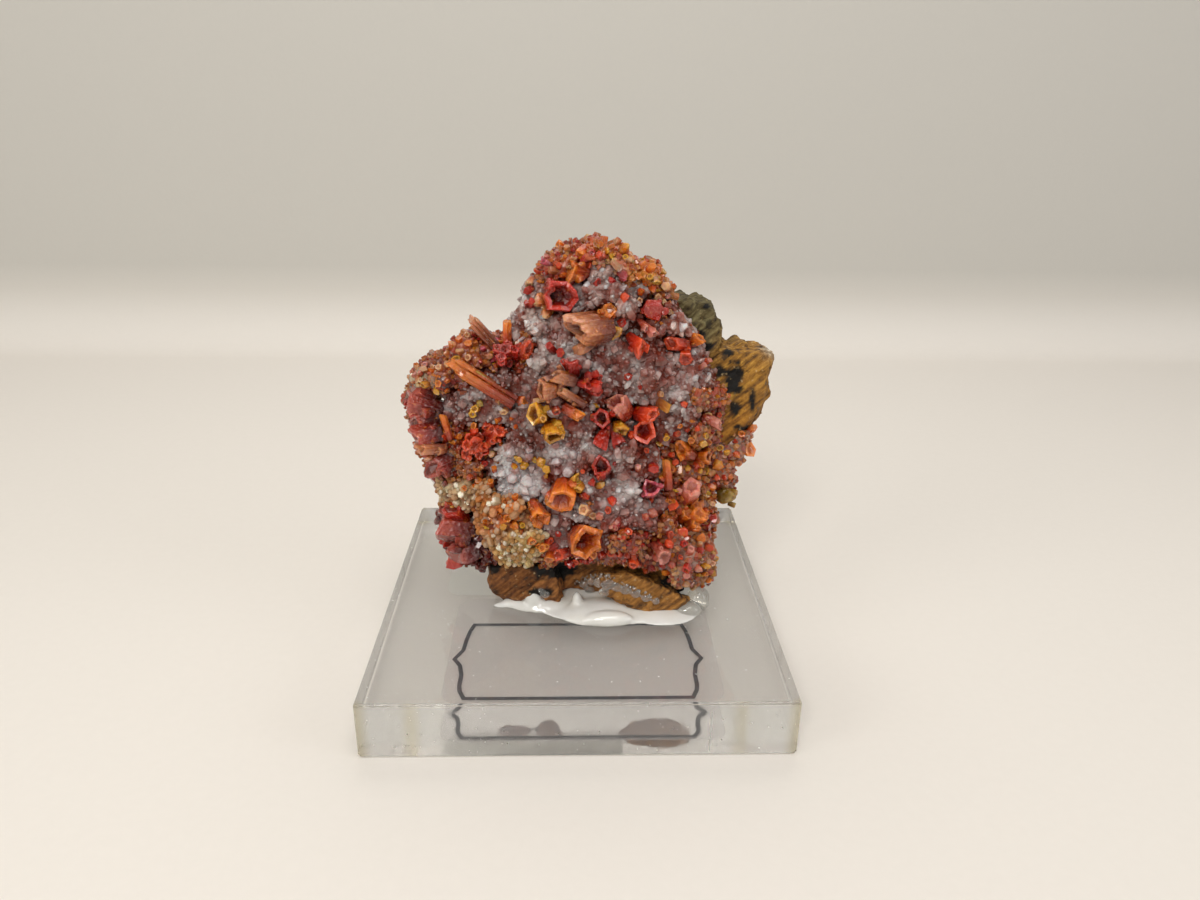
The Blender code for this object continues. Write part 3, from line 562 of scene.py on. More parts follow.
@dataclass(frozen=True)
class Vanadinite:
    """Glossy red to amber crystal whose colour comes from the mesh, with streaks along its sides."""

    name: str
    gloss: float = 0.12

    def make(self) -> bpy.types.Material:
        """Builds the material."""
        bench = ShaderBench(self.name)
        tint = bench.attribute("tint")
        grain = bench.attribute("grain", "Vector")
        lines = bench.add("ShaderNodeMapping", {"Vector": grain, "Scale": (1.0, 0.06, 1.0)}).outputs[0]
        streak = bench.add("ShaderNodeTexNoise", {"Vector": lines, "Scale": 9.0, "Detail": 3.0}).outputs[0]
        mottle = bench.noise(1300.0, 4.0, 0.65)
        colour = bench.mix(bench.level(streak, 0.42, 0.66, 0.0, 0.4), tint, linear("D07C3C"), "MULTIPLY")
        colour = bench.mix(bench.level(mottle, 0.46, 0.7, 0.0, 0.3), colour, linear("C05018"), "MULTIPLY")
        colour = bench.mix(bench.level(mottle, 0.42, 0.28, 0.0, 0.5), colour, linear("FF9A2E"))
        dust = bench.level(bench.noise(2600.0, 3.0), 0.66, 0.8, 0.0, 0.2)
        colour = bench.mix(dust, colour, linear("F6C49A"))
        facets = bench.cells(2100.0)
        bench.set(
            Base_Color=colour,
            Roughness=bench.level(mottle, 0.3, 0.75, self.gloss * 0.5, self.gloss * 1.8),
            IOR=1.62,
            Transmission_Weight=0.16,
            Subsurface_Weight=0.4,
            Subsurface_Scale=0.0006,
            Subsurface_Radius=(1.0, 0.25, 0.05),
            Coat_Weight=0.7,
            Coat_Roughness=0.04,
        )
        bench.bump(bench.sum(bench.sum(streak, facets), bench.sum(mottle, 0.5, "MULTIPLY")), 0.00015)
        return bench.material


@dataclass(frozen=True)
class CreamCoating:
    """Dull cream lumps with brown and yellow hollows."""

    name: str = "cream_coating"

    def make(self) -> bpy.types.Material:
        """Builds the material."""
        bench = ShaderBench(self.name)
        stain = bench.noise(520.0, 4.0, 0.6)
        colour = bench.mix(bench.level(stain, 0.5, 0.64, 0.0, 0.85), bench.attribute("tint"), linear("9A642A"))
        bench.set(
            Base_Color=colour, Roughness=bench.level(stain, 0.3, 0.7, 0.4, 0.8), Subsurface_Weight=0.12,
            Subsurface_Scale=0.0005,
        )
        bench.bump(bench.noise(2600.0, 4.0), 0.0001)
        return bench.material


class GrowthTree(NodeBench):
    """A Geometry Nodes tree built node by node."""

    def __init__(self, name: str) -> None:
        """Starts an empty tree with a geometry input and output."""
        super().__init__(bpy.data.node_groups.new(name, "GeometryNodeTree"))
        self.ids: dict[str, str] = {}
        self.input("Geometry", "NodeSocketGeometry")
        self.tree.interface.new_socket("Geometry", in_out="OUTPUT", socket_type="NodeSocketGeometry")
        self.inlet = self.tree.nodes.new("NodeGroupInput")
        self.outlet = self.tree.nodes.new("NodeGroupOutput")

    def input(self, name: str, kind: str) -> None:
        """Adds a named input."""
        self.ids[name] = self.tree.interface.new_socket(name, in_out="INPUT", socket_type=kind).identifier

    def given(self, name: str) -> bpy.types.NodeSocket:
        """The socket of a named input."""
        return self.inlet.outputs[name]

    def finish(self, geometry: bpy.types.NodeSocket) -> None:
        """Wires the result to the output."""
        self.tree.links.new(geometry, self.outlet.inputs[0])

    def grow(self, mesh: bpy.types.Mesh, **values: object) -> bpy.types.Mesh:
        """Runs the tree on a mesh.

        Args:
            mesh: the mesh that it starts from.
            values: value of each named input, with _ for a space.

        Returns:
            The plain mesh that results.
        """
        target = put("growing", mesh)
        modifier = target.modifiers.new(self.tree.name, "NODES")
        modifier.node_group = self.tree
        for key, value in values.items():
            modifier[self.ids[key.replace("_", " ")]] = value
        graph = bpy.context.evaluated_depsgraph_get()
        made = bpy.data.meshes.new_from_object(target.evaluated_get(graph), depsgraph=graph)
        target.modifiers.remove(modifier)
        bpy.data.objects.remove(target)
        return made


def random_of(bench: GrowthTree, low: float, high: float, salt: int) -> bpy.types.NodeSocket:
    """A random number for each point, from the tree's seed and this salt."""
    seed = bench.sum(bench.given("Seed"), float(salt))
    return bench.add("FunctionNodeRandomValue", {2: low, 3: high, "Seed": seed}, data_type="FLOAT").outputs[1]


def scatter_tree(name: str, stops: Sequence[tuple[float, Colour]]) -> GrowthTree:
    """Tree that scatters one small crystal over the faces that look outwards.

    Args:
        name: name of the tree.
        stops: colours that the crystals take by chance.

    Returns:
        The tree, with inputs for the crystal, the things to keep clear of, the material, the sizes, spacing,
        tilt, share of own colour and seed.
    """
    bench = GrowthTree(name)
    for label, kind in (
        ("Crystal", "Object"), ("Obstacle", "Object"), ("Finish", "Material"), ("Spacing", "Float"),
        ("Smallest", "Float"), ("Largest", "Float"), ("Tilt", "Float"), ("Facing", "Float"), ("Clear", "Float"),
        ("Own", "Float"), ("Seed", "Int"),
    ):
        bench.input(label, f"NodeSocket{kind}")

    def scaled(a: object, b: object) -> bpy.types.NodeSocket:
        """One number times another."""
        return bench.sum(a, b, "MULTIPLY")

    def larger(a: object, b: object) -> bpy.types.NodeSocket:
        """True where a is larger than b."""
        return bench.add("FunctionNodeCompare", {0: a, 1: b}, operation="GREATER_THAN").outputs[0]

    normal = bench.add("GeometryNodeInputNormal").outputs[0]
    toward = bench.add("ShaderNodeVectorMath", {0: normal, 1: (0.0, -0.92, 0.38)}, operation="DOT_PRODUCT")
    points = bench.add(
        "GeometryNodeDistributePointsOnFaces",
        {"Mesh": bench.given("Geometry"), "Selection": larger(toward.outputs["Value"], bench.given("Facing")),
         "Distance Min": bench.given("Spacing"), "Density Max": 2.0e7, "Seed": bench.given("Seed")},
        distribute_method="POISSON",
    )
    obstacle = bench.add("GeometryNodeObjectInfo", {0: bench.given("Obstacle")}).outputs["Geometry"]
    near = bench.add("GeometryNodeProximity", {0: obstacle}, target_element="FACES").outputs["Distance"]
    free = bench.add(
        "GeometryNodeSeparateGeometry",
        {"Geometry": points.outputs["Points"], "Selection": larger(near, bench.given("Clear"))}, domain="POINT",
    ).outputs[0]
    ramp = bench.add("ShaderNodeValToRGB", {0: random_of(bench, 0.0, 1.0, 16)})
    set_stops(ramp.color_ramp, stops)
    under = bench.add("GeometryNodeInputNamedAttribute", {0: "tint"}, data_type="FLOAT_COLOR").outputs[0]
    share = scaled(bench.given("Own"), random_of(bench, 0.4, 1.0, 17))
    mixed = bench.add("ShaderNodeMix", {0: share, 6: under, 7: ramp.outputs[0]}, data_type="RGBA").outputs[2]
    tinted = bench.add(
        "GeometryNodeStoreNamedAttribute", {"Geometry": free, "Name": "tint", "Value": mixed},
        data_type="FLOAT_COLOR", domain="POINT",
    )
    chance = random_of(bench, 0.0, 1.0, 14)
    spread = bench.sum(bench.given("Largest"), bench.given("Smallest"), "SUBTRACT")
    size = bench.sum(bench.given("Smallest"), scaled(spread, scaled(chance, chance)))
    height = scaled(size, random_of(bench, 0.7, 1.5, 15))
    stretch = bench.add("ShaderNodeCombineXYZ", {0: size, 1: size, 2: height})
    tilts = [scaled(random_of(bench, -1.0, 1.0, salt), bench.given("Tilt")) for salt in (11, 12)]
    spin = random_of(bench, 0.0, math.tau, 13)
    euler = bench.add("ShaderNodeCombineXYZ", {0: tilts[0], 1: tilts[1], 2: spin})
    turn = bench.add("FunctionNodeEulerToRotation", {0: euler.outputs[0]})
    upright = bench.add(
        "GeometryNodeStoreNamedAttribute",
        {"Geometry": tinted.outputs[0], "Name": "upright", "Value": points.outputs["Rotation"]},
        data_type="QUATERNION", domain="POINT",
    )
    kept = bench.add("GeometryNodeInputNamedAttribute", {0: "upright"}, data_type="QUATERNION").outputs[0]
    rotation = bench.add("FunctionNodeRotateRotation", {0: kept, 1: turn.outputs[0]}, rotation_space="LOCAL")
    crystal = bench.add("GeometryNodeObjectInfo", {0: bench.given("Crystal")})
    placed = bench.add(
        "GeometryNodeInstanceOnPoints",
        {"Points": upright.outputs[0], "Instance": crystal.outputs["Geometry"], "Rotation": rotation.outputs[0],
         "Scale": stretch.outputs[0]},
    )
    real = bench.add("GeometryNodeRealizeInstances", {0: placed.outputs[0]})
    dressed = bench.add("GeometryNodeSetMaterial", {0: real.outputs[0], "Material": bench.given("Finish")})
    bench.finish(dressed.outputs[0])
    return bench


def relief_tree() -> GrowthTree:
    """Tree that roughens a surface: lumps, broken facets, grain and fibres, pushed along the normals."""
    bench = GrowthTree("relief")
    for label in ("Swell", "Lumps", "Facets", "Grain", "Fibre", "Lump Scale", "Facet Scale", "Grain Scale"):
        bench.input(label, "NodeSocketFloat")
    place = bench.add("GeometryNodeInputPosition").outputs[0]
    turned = bench.add("ShaderNodeVectorRotate", {"Vector": place, "Angle": 0.7}, rotation_type="Y_AXIS")
    comb = {0: turned.outputs[0], 1: (0.12, 1.0, 1.0)}
    combed = bench.add("ShaderNodeVectorMath", comb, operation="MULTIPLY")

    def part(texture: str, vector: bpy.types.NodeSocket, scale: str, depth: str, middle: float) -> object:
        """One texture times its depth."""
        node = bench.add(texture, {"Vector": vector, "Scale": bench.given(scale)})
        return bench.sum(bench.sum(node.outputs[0], middle, "SUBTRACT"), bench.given(depth), "MULTIPLY")

    total = bench.given("Swell")
    for piece in (
        part("ShaderNodeTexNoise", place, "Lump Scale", "Lumps", 0.5),
        part("ShaderNodeTexVoronoi", place, "Facet Scale", "Facets", 0.4),
        part("ShaderNodeTexNoise", place, "Grain Scale", "Grain", 0.5),
        part("ShaderNodeTexNoise", combed.outputs[0], "Grain Scale", "Fibre", 0.5),
    ):
        total = bench.sum(total, piece)
    normal = bench.add("GeometryNodeInputNormal").outputs[0]
    offset = bench.add("ShaderNodeVectorMath", {0: normal, "Scale": total}, operation="SCALE")
    shape = bench.given("Geometry")
    moved = bench.add("GeometryNodeSetPosition", {"Geometry": shape, "Offset": offset.outputs[0]})
    bench.finish(moved.outputs[0])
    return bench


def put(name: str, mesh: bpy.types.Mesh, *materials: bpy.types.Material) -> bpy.types.Object:
    """An object at the origin that shows this mesh.

    Args:
        name: the object's name.
        mesh: its mesh, in metres.
        materials: its materials, or none where the mesh has them.

    Returns:
        The object.
    """
    for material in materials:
        mesh.materials.append(material)
    made = bpy.data.objects.new(name, mesh)
    bpy.context.scene.collection.objects.link(made)
    return made


def settle(piece: bpy.types.Object, slot: str, *nodes: str) -> bpy.types.Object:
    """Ties a finished piece to the frame, hides the nodes that it stands for and logs its triangles and its
    slot.
    """
    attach(piece, "root")
    if nodes:
        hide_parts(*nodes)
    triangles = sum(len(face.vertices) - 2 for face in piece.data.polygons)
    LOG.info("%s: %d triangles, slot %s", piece.name, triangles, slot)
    return piece


def evened(name: str, mesh: bpy.types.Mesh, pitch: float, softening: int,
           factor: float = 0.5) -> bpy.types.Mesh:
    """A mesh remade with even faces.

    Args:
        name: name of the new mesh.
        mesh: a closed mesh, in metres.
        pitch: size of the new faces in millimetres.
        softening: how many times the corners are smoothed.
        factor: strength of the smoothing.

    Returns:
        The new mesh.
    """
    made = put(name, mesh)
    remesh = made.modifiers.new("even faces", "REMESH")
    remesh.mode = "VOXEL"
    remesh.voxel_size = pitch * MM
    if softening:
        smooth = made.modifiers.new("soften", "SMOOTH")
        smooth.factor = factor
        smooth.iterations = softening
    graph = bpy.context.evaluated_depsgraph_get()
    even = bpy.data.meshes.new_from_object(made.evaluated_get(graph), depsgraph=graph)
    bpy.data.objects.remove(made)
    even.name = name
    even.materials.clear()
    return even


def solid_of(node: str) -> bmesh.types.BMesh:
    """A builder with a copy of a CAD node's mesh, its doubled corners merged."""
    builder = bmesh.new()
    builder.from_mesh(frame["nodes"][node].data)
    bmesh.ops.remove_doubles(builder, verts=builder.verts, dist=WELD)
    return builder


def solid_copy(node: str, pitch: float, softening: int) -> bpy.types.Mesh:
    """A closed, evenly meshed copy of a CAD node."""
    return evened(f"{node}_even", mesh_of(node, solid_of(node)), pitch, softening)


def paint(mesh: bpy.types.Mesh, colour_at: Callable[[Vector], Colour]) -> None:
    """Gives each point of a mesh the tint that the function names for it, in millimetres."""
    layer = mesh.attributes.new("tint", "FLOAT_COLOR", "POINT")
    values: list[float] = []
    for vert in mesh.vertices:
        values.extend((*colour_at(vert.co / MM), 1.0))
    layer.data.foreach_set("color", values)


def joined(name: str, *meshes: bpy.types.Mesh) -> bpy.types.Mesh:
    """Meshes put together as one, with their materials and attributes kept."""
    parts = [put(f"{name}_part_{i}", mesh) for i, mesh in enumerate(meshes)]
    with bpy.context.temp_override(
        active_object=parts[0], selected_objects=parts, selected_editable_objects=parts, object=parts[0]
    ):
        bpy.ops.object.join()
    whole = parts[0].data
    whole.name = name
    bpy.data.objects.remove(parts[0])
    return whole


class Form(Enum):
    """Shape of a crystal: share of the length and share of the radius at each ring from foot to tip."""

    BLOCK = ((0, 0.9), (0.5, 1.02), (0.93, 1), (1, 0.9), (1, 0.6), (0.93, 0.45))
    PLAIN = ((0, 0.92), (0.5, 1.03), (0.94, 1), (1, 0.88))
    CUP = ((0, 0.75), (0.5, 0.97), (0.94, 1.03), (1, 0.95), (0.99, 0.68), (0.82, 0.55), (0.66, 0.3))
    WIDE_CUP = ((0, 0.65), (0.5, 0.93), (0.93, 1.06), (1, 1.0), (0.97, 0.72), (0.7, 0.5), (0.5, 0.2))
    BARREL = ((0, 0.74), (0.3, 0.93), (0.6, 1), (0.92, 0.84), (1, 0.7), (0.98, 0.4), (0.9, 0.25))
    FLARE = ((0, 0.5), (0.6, 0.84), (0.95, 1.08), (1, 1.02), (0.99, 0.6), (0.93, 0.4))
    BUD = ((0, 0.7), (0.4, 1), (0.75, 0.92), (0.95, 0.6), (1, 0.3))
    CONE = ((0, 0.35), (0.9, 1.0), (1, 0.96), (0.99, 0.6), (0.9, 0.34))
    TUB = ((0, 0.84), (0.4, 1.0), (0.9, 0.98), (1, 0.86), (0.99, 0.5), (0.85, 0.42), (0.7, 0.25))
    TOOTH = ((0, 0.85), (0.5, 1), (0.78, 0.66))
    POINT = ((0, 0.85), (0.5, 1), (0.78, 0.66), (1, 0.14))


class Tint(Enum):
    """Colours of a crystal at its foot, darker partly as painted shade, on its sides and on its end, and its
    slot.
    """

    RED = ("5A0602", "C4180A", "D83418", "red_vanadinite")
    SCARLET = ("8C0E02", "F03A0C", "FF6430", "red_vanadinite")
    MAGENTA = ("660610", "C82434", "EC7084", "red_vanadinite")
    ORANGE = ("9C2C04", "FA6C0C", "FF9A2A", "orange_vanadinite")
    PEACH = ("BC5420", "FCA058", "FFD4A0", "orange_vanadinite")
    AMBER = ("8C4404", "FA9C10", "FFC440", "amber_vanadinite")
    OLIVE = ("5A4408", "A88828", "D0B45C", "amber_vanadinite")
    TAN = ("6C2408", "C06C38", "E8A06C", "tan_vanadinite")
    PINK = ("982816", "F07456", "FFB09C", "tan_vanadinite")
    WINE = ("480805", "A4220F", "C4523A", "wine_vanadinite")
    CREAM = ("94642A", "D8CCAC", "F6F0E0", "cream_coating")
    FROST = ("B89C9C", "E8DCDC", "FFFFFF", "mauve_quartz")

    @property
    def slot(self) -> str:
        """Name of the slot that holds crystals of this tint."""
        return self.value[3]

    def shades(self) -> tuple[Colour, Colour, Colour]:
        """Linear colours of the foot, darker partly as painted shade, the sides and the end."""
        return tuple(linear(code) for code in self.value[:3])


@dataclass(frozen=True)
class Crystal:
    """One six sided crystal that grows out of the face.

    (u, v) is its foot in the reference view. clock is the way that it leans in the view, with 0 to the right
    and 90 up, and lean is how far it leans from pointing at the eye. Length and radius are in millimetres.
    """

    u: float
    v: float
    clock: float
    lean: float
    length: float
    radius: float
    form: Form
    tint: Tint
    flat: float = 1.0
    bundle: int = 1
    spread: float = 1.0
    ridges: int = 2
    chips: int = 3
    sink: float = 0.6


class CrystalGrower:
    """Grows crystals into one mesh, with a tint and a grain for the material."""

    upright = Vector((0.21, 0.3, 0.93))

    def __init__(self, seed: int, ragged: float = 0.0) -> None:
        """Starts an empty mesh, with this unevenness at the crystals' ends."""
        self.builder = bmesh.new()
        self.tint = self.builder.verts.layers.float_color.new("tint")
        self.grain = self.builder.verts.layers.float_vector.new("grain")
        self.dice = random.Random(seed)
        self.ragged = ragged

    def axis(self, crystal: Crystal) -> Vector:
        """Unit vector from a crystal's foot to its tip."""
        clock = math.radians(crystal.clock)
        lean = math.radians(crystal.lean)
        right, up, _ = VIEW.axes()
        aside = right * math.cos(clock) + up * math.sin(clock)
        return -VIEW.sight(crystal.u, crystal.v) * math.cos(lean) + aside * math.sin(lean)

    def stand(self, crystal: Crystal) -> None:
        """Adds one crystal on the mean face, or its bundle of parallel ones."""
        axis = self.axis(crystal)
        foot = FACE.point(crystal.u, crystal.v)
        foot -= axis * crystal.sink * math.cos(math.radians(crystal.lean)) ** 0.5
        self.grow(foot, axis, crystal)

    def crowd(self, crystal: Crystal) -> None:
        """Adds small broken crystals against a large one's sides."""
        axis = self.axis(crystal)
        foot = FACE.point(crystal.u, crystal.v) - axis * crystal.sink
        across = axis.cross(self.upright).normalized()
        over = axis.cross(across)
        for _ in range(crystal.chips):
            angle = self.dice.uniform(0, math.tau)
            aside = across * math.cos(angle) + over * math.sin(angle) * crystal.flat
            reach = crystal.radius * self.dice.uniform(0.7, 0.95)
            height = crystal.length * self.dice.uniform(0.3, 0.85)
            lean = (axis + aside * self.dice.uniform(-0.2, 0.9)).normalized()
            radius = crystal.radius * self.dice.uniform(0.2, 0.42)
            form = self.dice.choice((Form.PLAIN, Form.BUD, Form.BLOCK))
            length = radius * self.dice.uniform(1.8, 3.0)
            chip = Crystal(0, 0, 0, 0, length, radius, form, crystal.tint, ridges=1)
            self.grow(foot + axis * height + aside * reach - lean * radius, lean, chip)

    def grow(self, foot: Vector, axis: Vector, crystal: Crystal) -> None:
        """Adds a crystal, or its bundle, from this foot along this axis."""
        across = axis.cross(self.upright).normalized()
        over = axis.cross(across) * crystal.flat
        if crystal.bundle == 1:
            self.prism(foot, axis, across, over, crystal.length, crystal.radius, crystal)
            return
        for k in range(crystal.bundle):
            angle = math.tau * k / max(1, crystal.bundle - 1) + self.dice.uniform(-0.3, 0.3)
            reach = crystal.radius * (0.0 if k == 0 else 0.6)
            aside = (across * math.cos(angle) + over * math.sin(angle)) * reach
            spread = aside * self.dice.uniform(0.05, 0.25) * crystal.spread / max(crystal.radius, 0.1)
            lean = (axis + spread).normalized()
            length = crystal.length * (1.0 if k == 0 else self.dice.uniform(0.66, 0.97))
            width = crystal.radius * (0.66 if k == 0 else self.dice.uniform(0.38, 0.52))
            self.prism(foot + aside, lean, across, over, length, width, crystal)

    def prism(self, foot: Vector, axis: Vector, across: Vector, over: Vector, length: float, radius: float,
              crystal: Crystal) -> None:
        """Adds one closed prism.

        Args:
            foot: middle of its foot, in millimetres.
            axis: unit vector to its tip.
            across: unit vector to its first corner.
            over: vector at right angles to both.
            length: its length.
            radius: its radius.
            crystal: gives its form and its tint.
        """
        shades = crystal.tint.shades()
        rings = crystal.form.value
        rim = max(i for i, (height, _) in enumerate(rings) if height == 1)
        ridges = crystal.ridges
        corners = 6 * ridges
        spin = self.dice.uniform(0, 1)
        corner = [self.dice.uniform(0.76, 1.14) for _ in range(6)]
        swing = [self.dice.uniform(-0.17, 0.17) for _ in range(6)]
        uneven = []
        for k in range(corners):
            side, step = divmod(k, ridges)
            flat = math.cos(math.pi / 6) / math.cos(math.pi / 6 - math.pi / 3 * step / ridges)
            share = corner[side] + (corner[(side + 1) % 6] - corner[side]) * step / ridges
            uneven.append(share * flat * (self.dice.uniform(0.94, 1.03) if step else 1.0))
        chips = [self.ragged * self.dice.choice((0.5, 0.9, 0, -0.7, -1.4)) for _ in range(corners)]
        slope = Vector((self.dice.uniform(-0.2, 0.2), self.dice.uniform(-0.2, 0.2)))
        bright = self.dice.uniform(0.8, 1.18)
        stack = []
        for number, (height, share) in enumerate(rings):
            upper = []
            wobble = self.dice.uniform(0.97, 1.03) if 0 < number < rim else 1.0
            for k in range(corners):
                angle = math.tau * (k / corners + spin / 6) + swing[k // ridges]
                reach = share * radius * uneven[k] * wobble
                side = across * math.cos(angle) + over * math.sin(angle)
                tilt = (math.cos(angle) * slope.x + math.sin(angle) * slope.y) * radius * 2 * (height > 0.5)
                tall = height * length + (chips[k] * radius if number >= rim - 1 else 0.0)
                vert = self.builder.verts.new(foot + axis * (tall + tilt) + side * reach)
                # Painted shade: inside a hollow end the colour darkens towards the foot colour with depth, and
                # the sides darken towards the foot.
                if number > rim:
                    colour = blended(shades[2], shades[0], min(1.0, (1 - height) * 2.6 + 0.4))
                elif height >= 0.9:
                    colour = blended(shades[1], shades[2], 0.75)
                else:
                    colour = blended(shades[0], shades[1], height)
                vert[self.tint] = (*(c * bright for c in colour), 1.0)
                vert[self.grain] = (6 * k / corners + spin * 7, height * length, bright * 5)
                upper.append(vert)
            stack.append(upper)
        stacked(self.builder, stack)

    def mesh(self, name: str, bevel: float) -> bpy.types.Mesh:
        """Finishes the mesh.

        Args:
            name: the mesh's name.
            bevel: width in millimetres of the worn edges, or 0 for none.

        Returns:
            The mesh, in metres.
        """
        bmesh.ops.recalc_face_normals(self.builder, faces=self.builder.faces)
        if bevel:
            sharp = [edge for edge in self.builder.edges if edge.calc_face_angle(0) > 0.6]
            bmesh.ops.bevel(
                self.builder, geom=sharp, offset=bevel, segments=1, affect="EDGES", clamp_overlap=True
            )
        bmesh.ops.scale(self.builder, vec=(MM, MM, MM), verts=self.builder.verts)
        mesh = bpy.data.meshes.new(name)
        self.builder.to_mesh(mesh)
        self.builder.free()
        return mesh


def seed_crystal(name: str, form: Form, sides: int = 6, point: float = 0.0) -> bpy.types.Object:
    """A small crystal of radius 0.5 and height 1 for scattering.

    Args:
        name: the object's name.
        form: its rings.
        sides: number of sides.
        point: height of a pointed tip above the last ring, 0 for a flat end.

    Returns:
        The object, outside the scene.
    """
    builder = bmesh.new()
    grain = builder.verts.layers.float_vector.new("grain")
    stack = []
    for height, share in form.value:
        upper = []
        for k in range(sides):
            angle = math.tau * k / sides
            reach = share * 0.5
            vert = builder.verts.new((reach * math.cos(angle), reach * math.sin(angle), height - SEED_SINK))
            vert[grain] = (float(k), height * 2, 0)
            upper.append(vert)
        stack.append(upper)
    apex = builder.verts.new((0, 0, form.value[-1][0] - SEED_SINK + point)) if point else None
    stacked(builder, stack, apex)
    mesh = mesh_of(name, builder)
    return bpy.data.objects.new(name, mesh)


@dataclass
class AcrylicBlock:
    """The clear square block."""

    side: float = 44.45
    thickness: float = 6.5
    chamfer: float = 0.22
    lift: float = 0.03

    def build(self) -> bpy.types.Object:
        """Makes the block as a chamfered box.

        Returns:
            The finished piece.
        """
        builder = bmesh.new()
        bmesh.ops.create_cube(builder, size=1.0)
        bmesh.ops.scale(builder, vec=(self.side, self.side, self.thickness - self.lift), verts=builder.verts)
        bmesh.ops.translate(builder, vec=(0, 0, (self.thickness + self.lift) / 2), verts=builder.verts)
        bmesh.ops.bevel(builder, geom=builder.edges[:], offset=self.chamfer, segments=2, affect="EDGES")
        bmesh.ops.scale(builder, vec=(MM, MM, MM), verts=builder.verts)
        mesh = mesh_of("clear_block", builder)
        return settle(put("clear_block", mesh, Acrylic().make()), "clear_acrylic", "acrylic_block")


@dataclass
class UndersideFilms:
    """The label film with its printed border, and the pale sticker, seen through the block."""

    label: tuple[float, float, float, float] = (0.5, -8.1, 30.0, 20.0)
    sticker: tuple[float, float, float, float] = (-5.4, 7.2, 22.0, 9.0)
    corner: float = 2.0
    corner_steps: int = 8
    film: tuple[float, float] = (0.06, 0.12)
    ink: tuple[float, float] = (0.16, 0.2)
    line: float = 0.46
    border: tuple[tuple[float, float], ...] = (
        (12.2, -3.8), (12.62, -5.2), (12.85, -6.9), (12.98, -8.8), (13.8, -10.5), (13.05, -11.7),
        (12.72, -13.4), (12.74, -15.2), (12.6, -16.1), (12.05, -17.3),
    )

    def plate(self, name: str, place: tuple[float, float, float, float]) -> bpy.types.Mesh:
        """A film with rounded corners, its place given as (centre x, centre y, width, height)."""
        x, y, width, height = place
        builder = bmesh.new()
        outline = []
        for sign_x, sign_y, start in ((1, 1, 0), (-1, 1, 90), (-1, -1, 180), (1, -1, 270)):
            for step in range(self.corner_steps + 1):
                angle = math.radians(start + 90 * step / self.corner_steps)
                outline.append((
                    x + sign_x * (width / 2 - self.corner) + self.corner * math.cos(angle),
                    y + sign_y * (height / 2 - self.corner) + self.corner * math.sin(angle),
                ))
        stacked(builder, [
            [builder.verts.new((px * MM, py * MM, z * MM)) for px, py in outline] for z in self.film
        ])
        return mesh_of(name, builder)

    def border_line(self) -> bpy.types.Mesh:
        """The printed border as a closed flat ribbon of even width."""
        right = [Vector(point) for point in self.border]
        left = [Vector((-x, y)) for x, y in reversed(self.border)]
        loop = right + left
        builder = bmesh.new()
        rings: list[list[bmesh.types.BMVert]] = []
        count = len(loop)
        for i, point in enumerate(loop):
            before = (point - loop[i - 1]).normalized()
            after = (loop[(i + 1) % count] - point).normalized()
            normal = Vector((-(before + after).y, (before + after).x)).normalized()
            half = self.line / 2 / max(0.5, normal.dot(Vector((-before.y, before.x))))
            corners = [point + normal * half, point - normal * half]
            rings.append([builder.verts.new((c.x * MM, c.y * MM, z * MM)) for c in corners for z in self.ink])
        for i in range(count):
            a, b = rings[i], rings[(i + 1) % count]
            for p, q in ((0, 1), (1, 3), (3, 2), (2, 0)):
                builder.faces.new((a[p], a[q], b[q], b[p]))
        bmesh.ops.recalc_face_normals(builder, faces=builder.faces)
        return mesh_of("label_border", builder)

    def build(self) -> list[bpy.types.Object]:
        """Makes the film, its border and the sticker.

        Returns:
            The finished pieces.
        """
        film = put("label_sheet", self.plate("label_sheet", self.label),
                   Film("clear_film", linear("FBF1F2"), 0.1).make())
        ink = put("label_border", self.border_line(), Ink().make())
        sticker = put("pale_sticker_sheet", self.plate("pale_sticker_sheet", self.sticker),
                      Film("pale_film", linear("FCFAF0"), 0.85).make())
        return [
            settle(film, "clear_film", "label_film"),
            settle(ink, "clear_film"),
            settle(sticker, "pale_film", "pale_sticker"),
        ]


@dataclass(frozen=True)
class Blob:
    """One rounded part of the glue: its middle, with the height above the block, and its half sizes."""

    x: float
    y: float
    z: float
    wide: float
    deep: float
    high: float


def blob_mesh(name: str, blobs: Sequence[Blob], base: float) -> bpy.types.Mesh:
    """Rounded parts as one mesh in metres, cut flat on the block's top face.

    Args:
        name: the mesh's name.
        blobs: the parts.
        base: height of the block's top face in millimetres.

    Returns:
        The mesh.
    """
    builder = bmesh.new()
    for blob in blobs:
        middle = Vector((blob.x, blob.y, base + blob.z))
        for vert in bmesh.ops.create_icosphere(builder, subdivisions=4, radius=1.0)["verts"]:
            wave = 1 + 0.05 * noise.noise(vert.co * 1.3 + middle)
            vert.co = middle + vert.co * Vector((blob.wide * wave, blob.deep * wave, blob.high))
    for vert in builder.verts:
        vert.co.z = max(vert.co.z, base + 0.02)
    bmesh.ops.scale(builder, vec=(MM, MM, MM), verts=builder.verts)
    return mesh_of(name, builder)


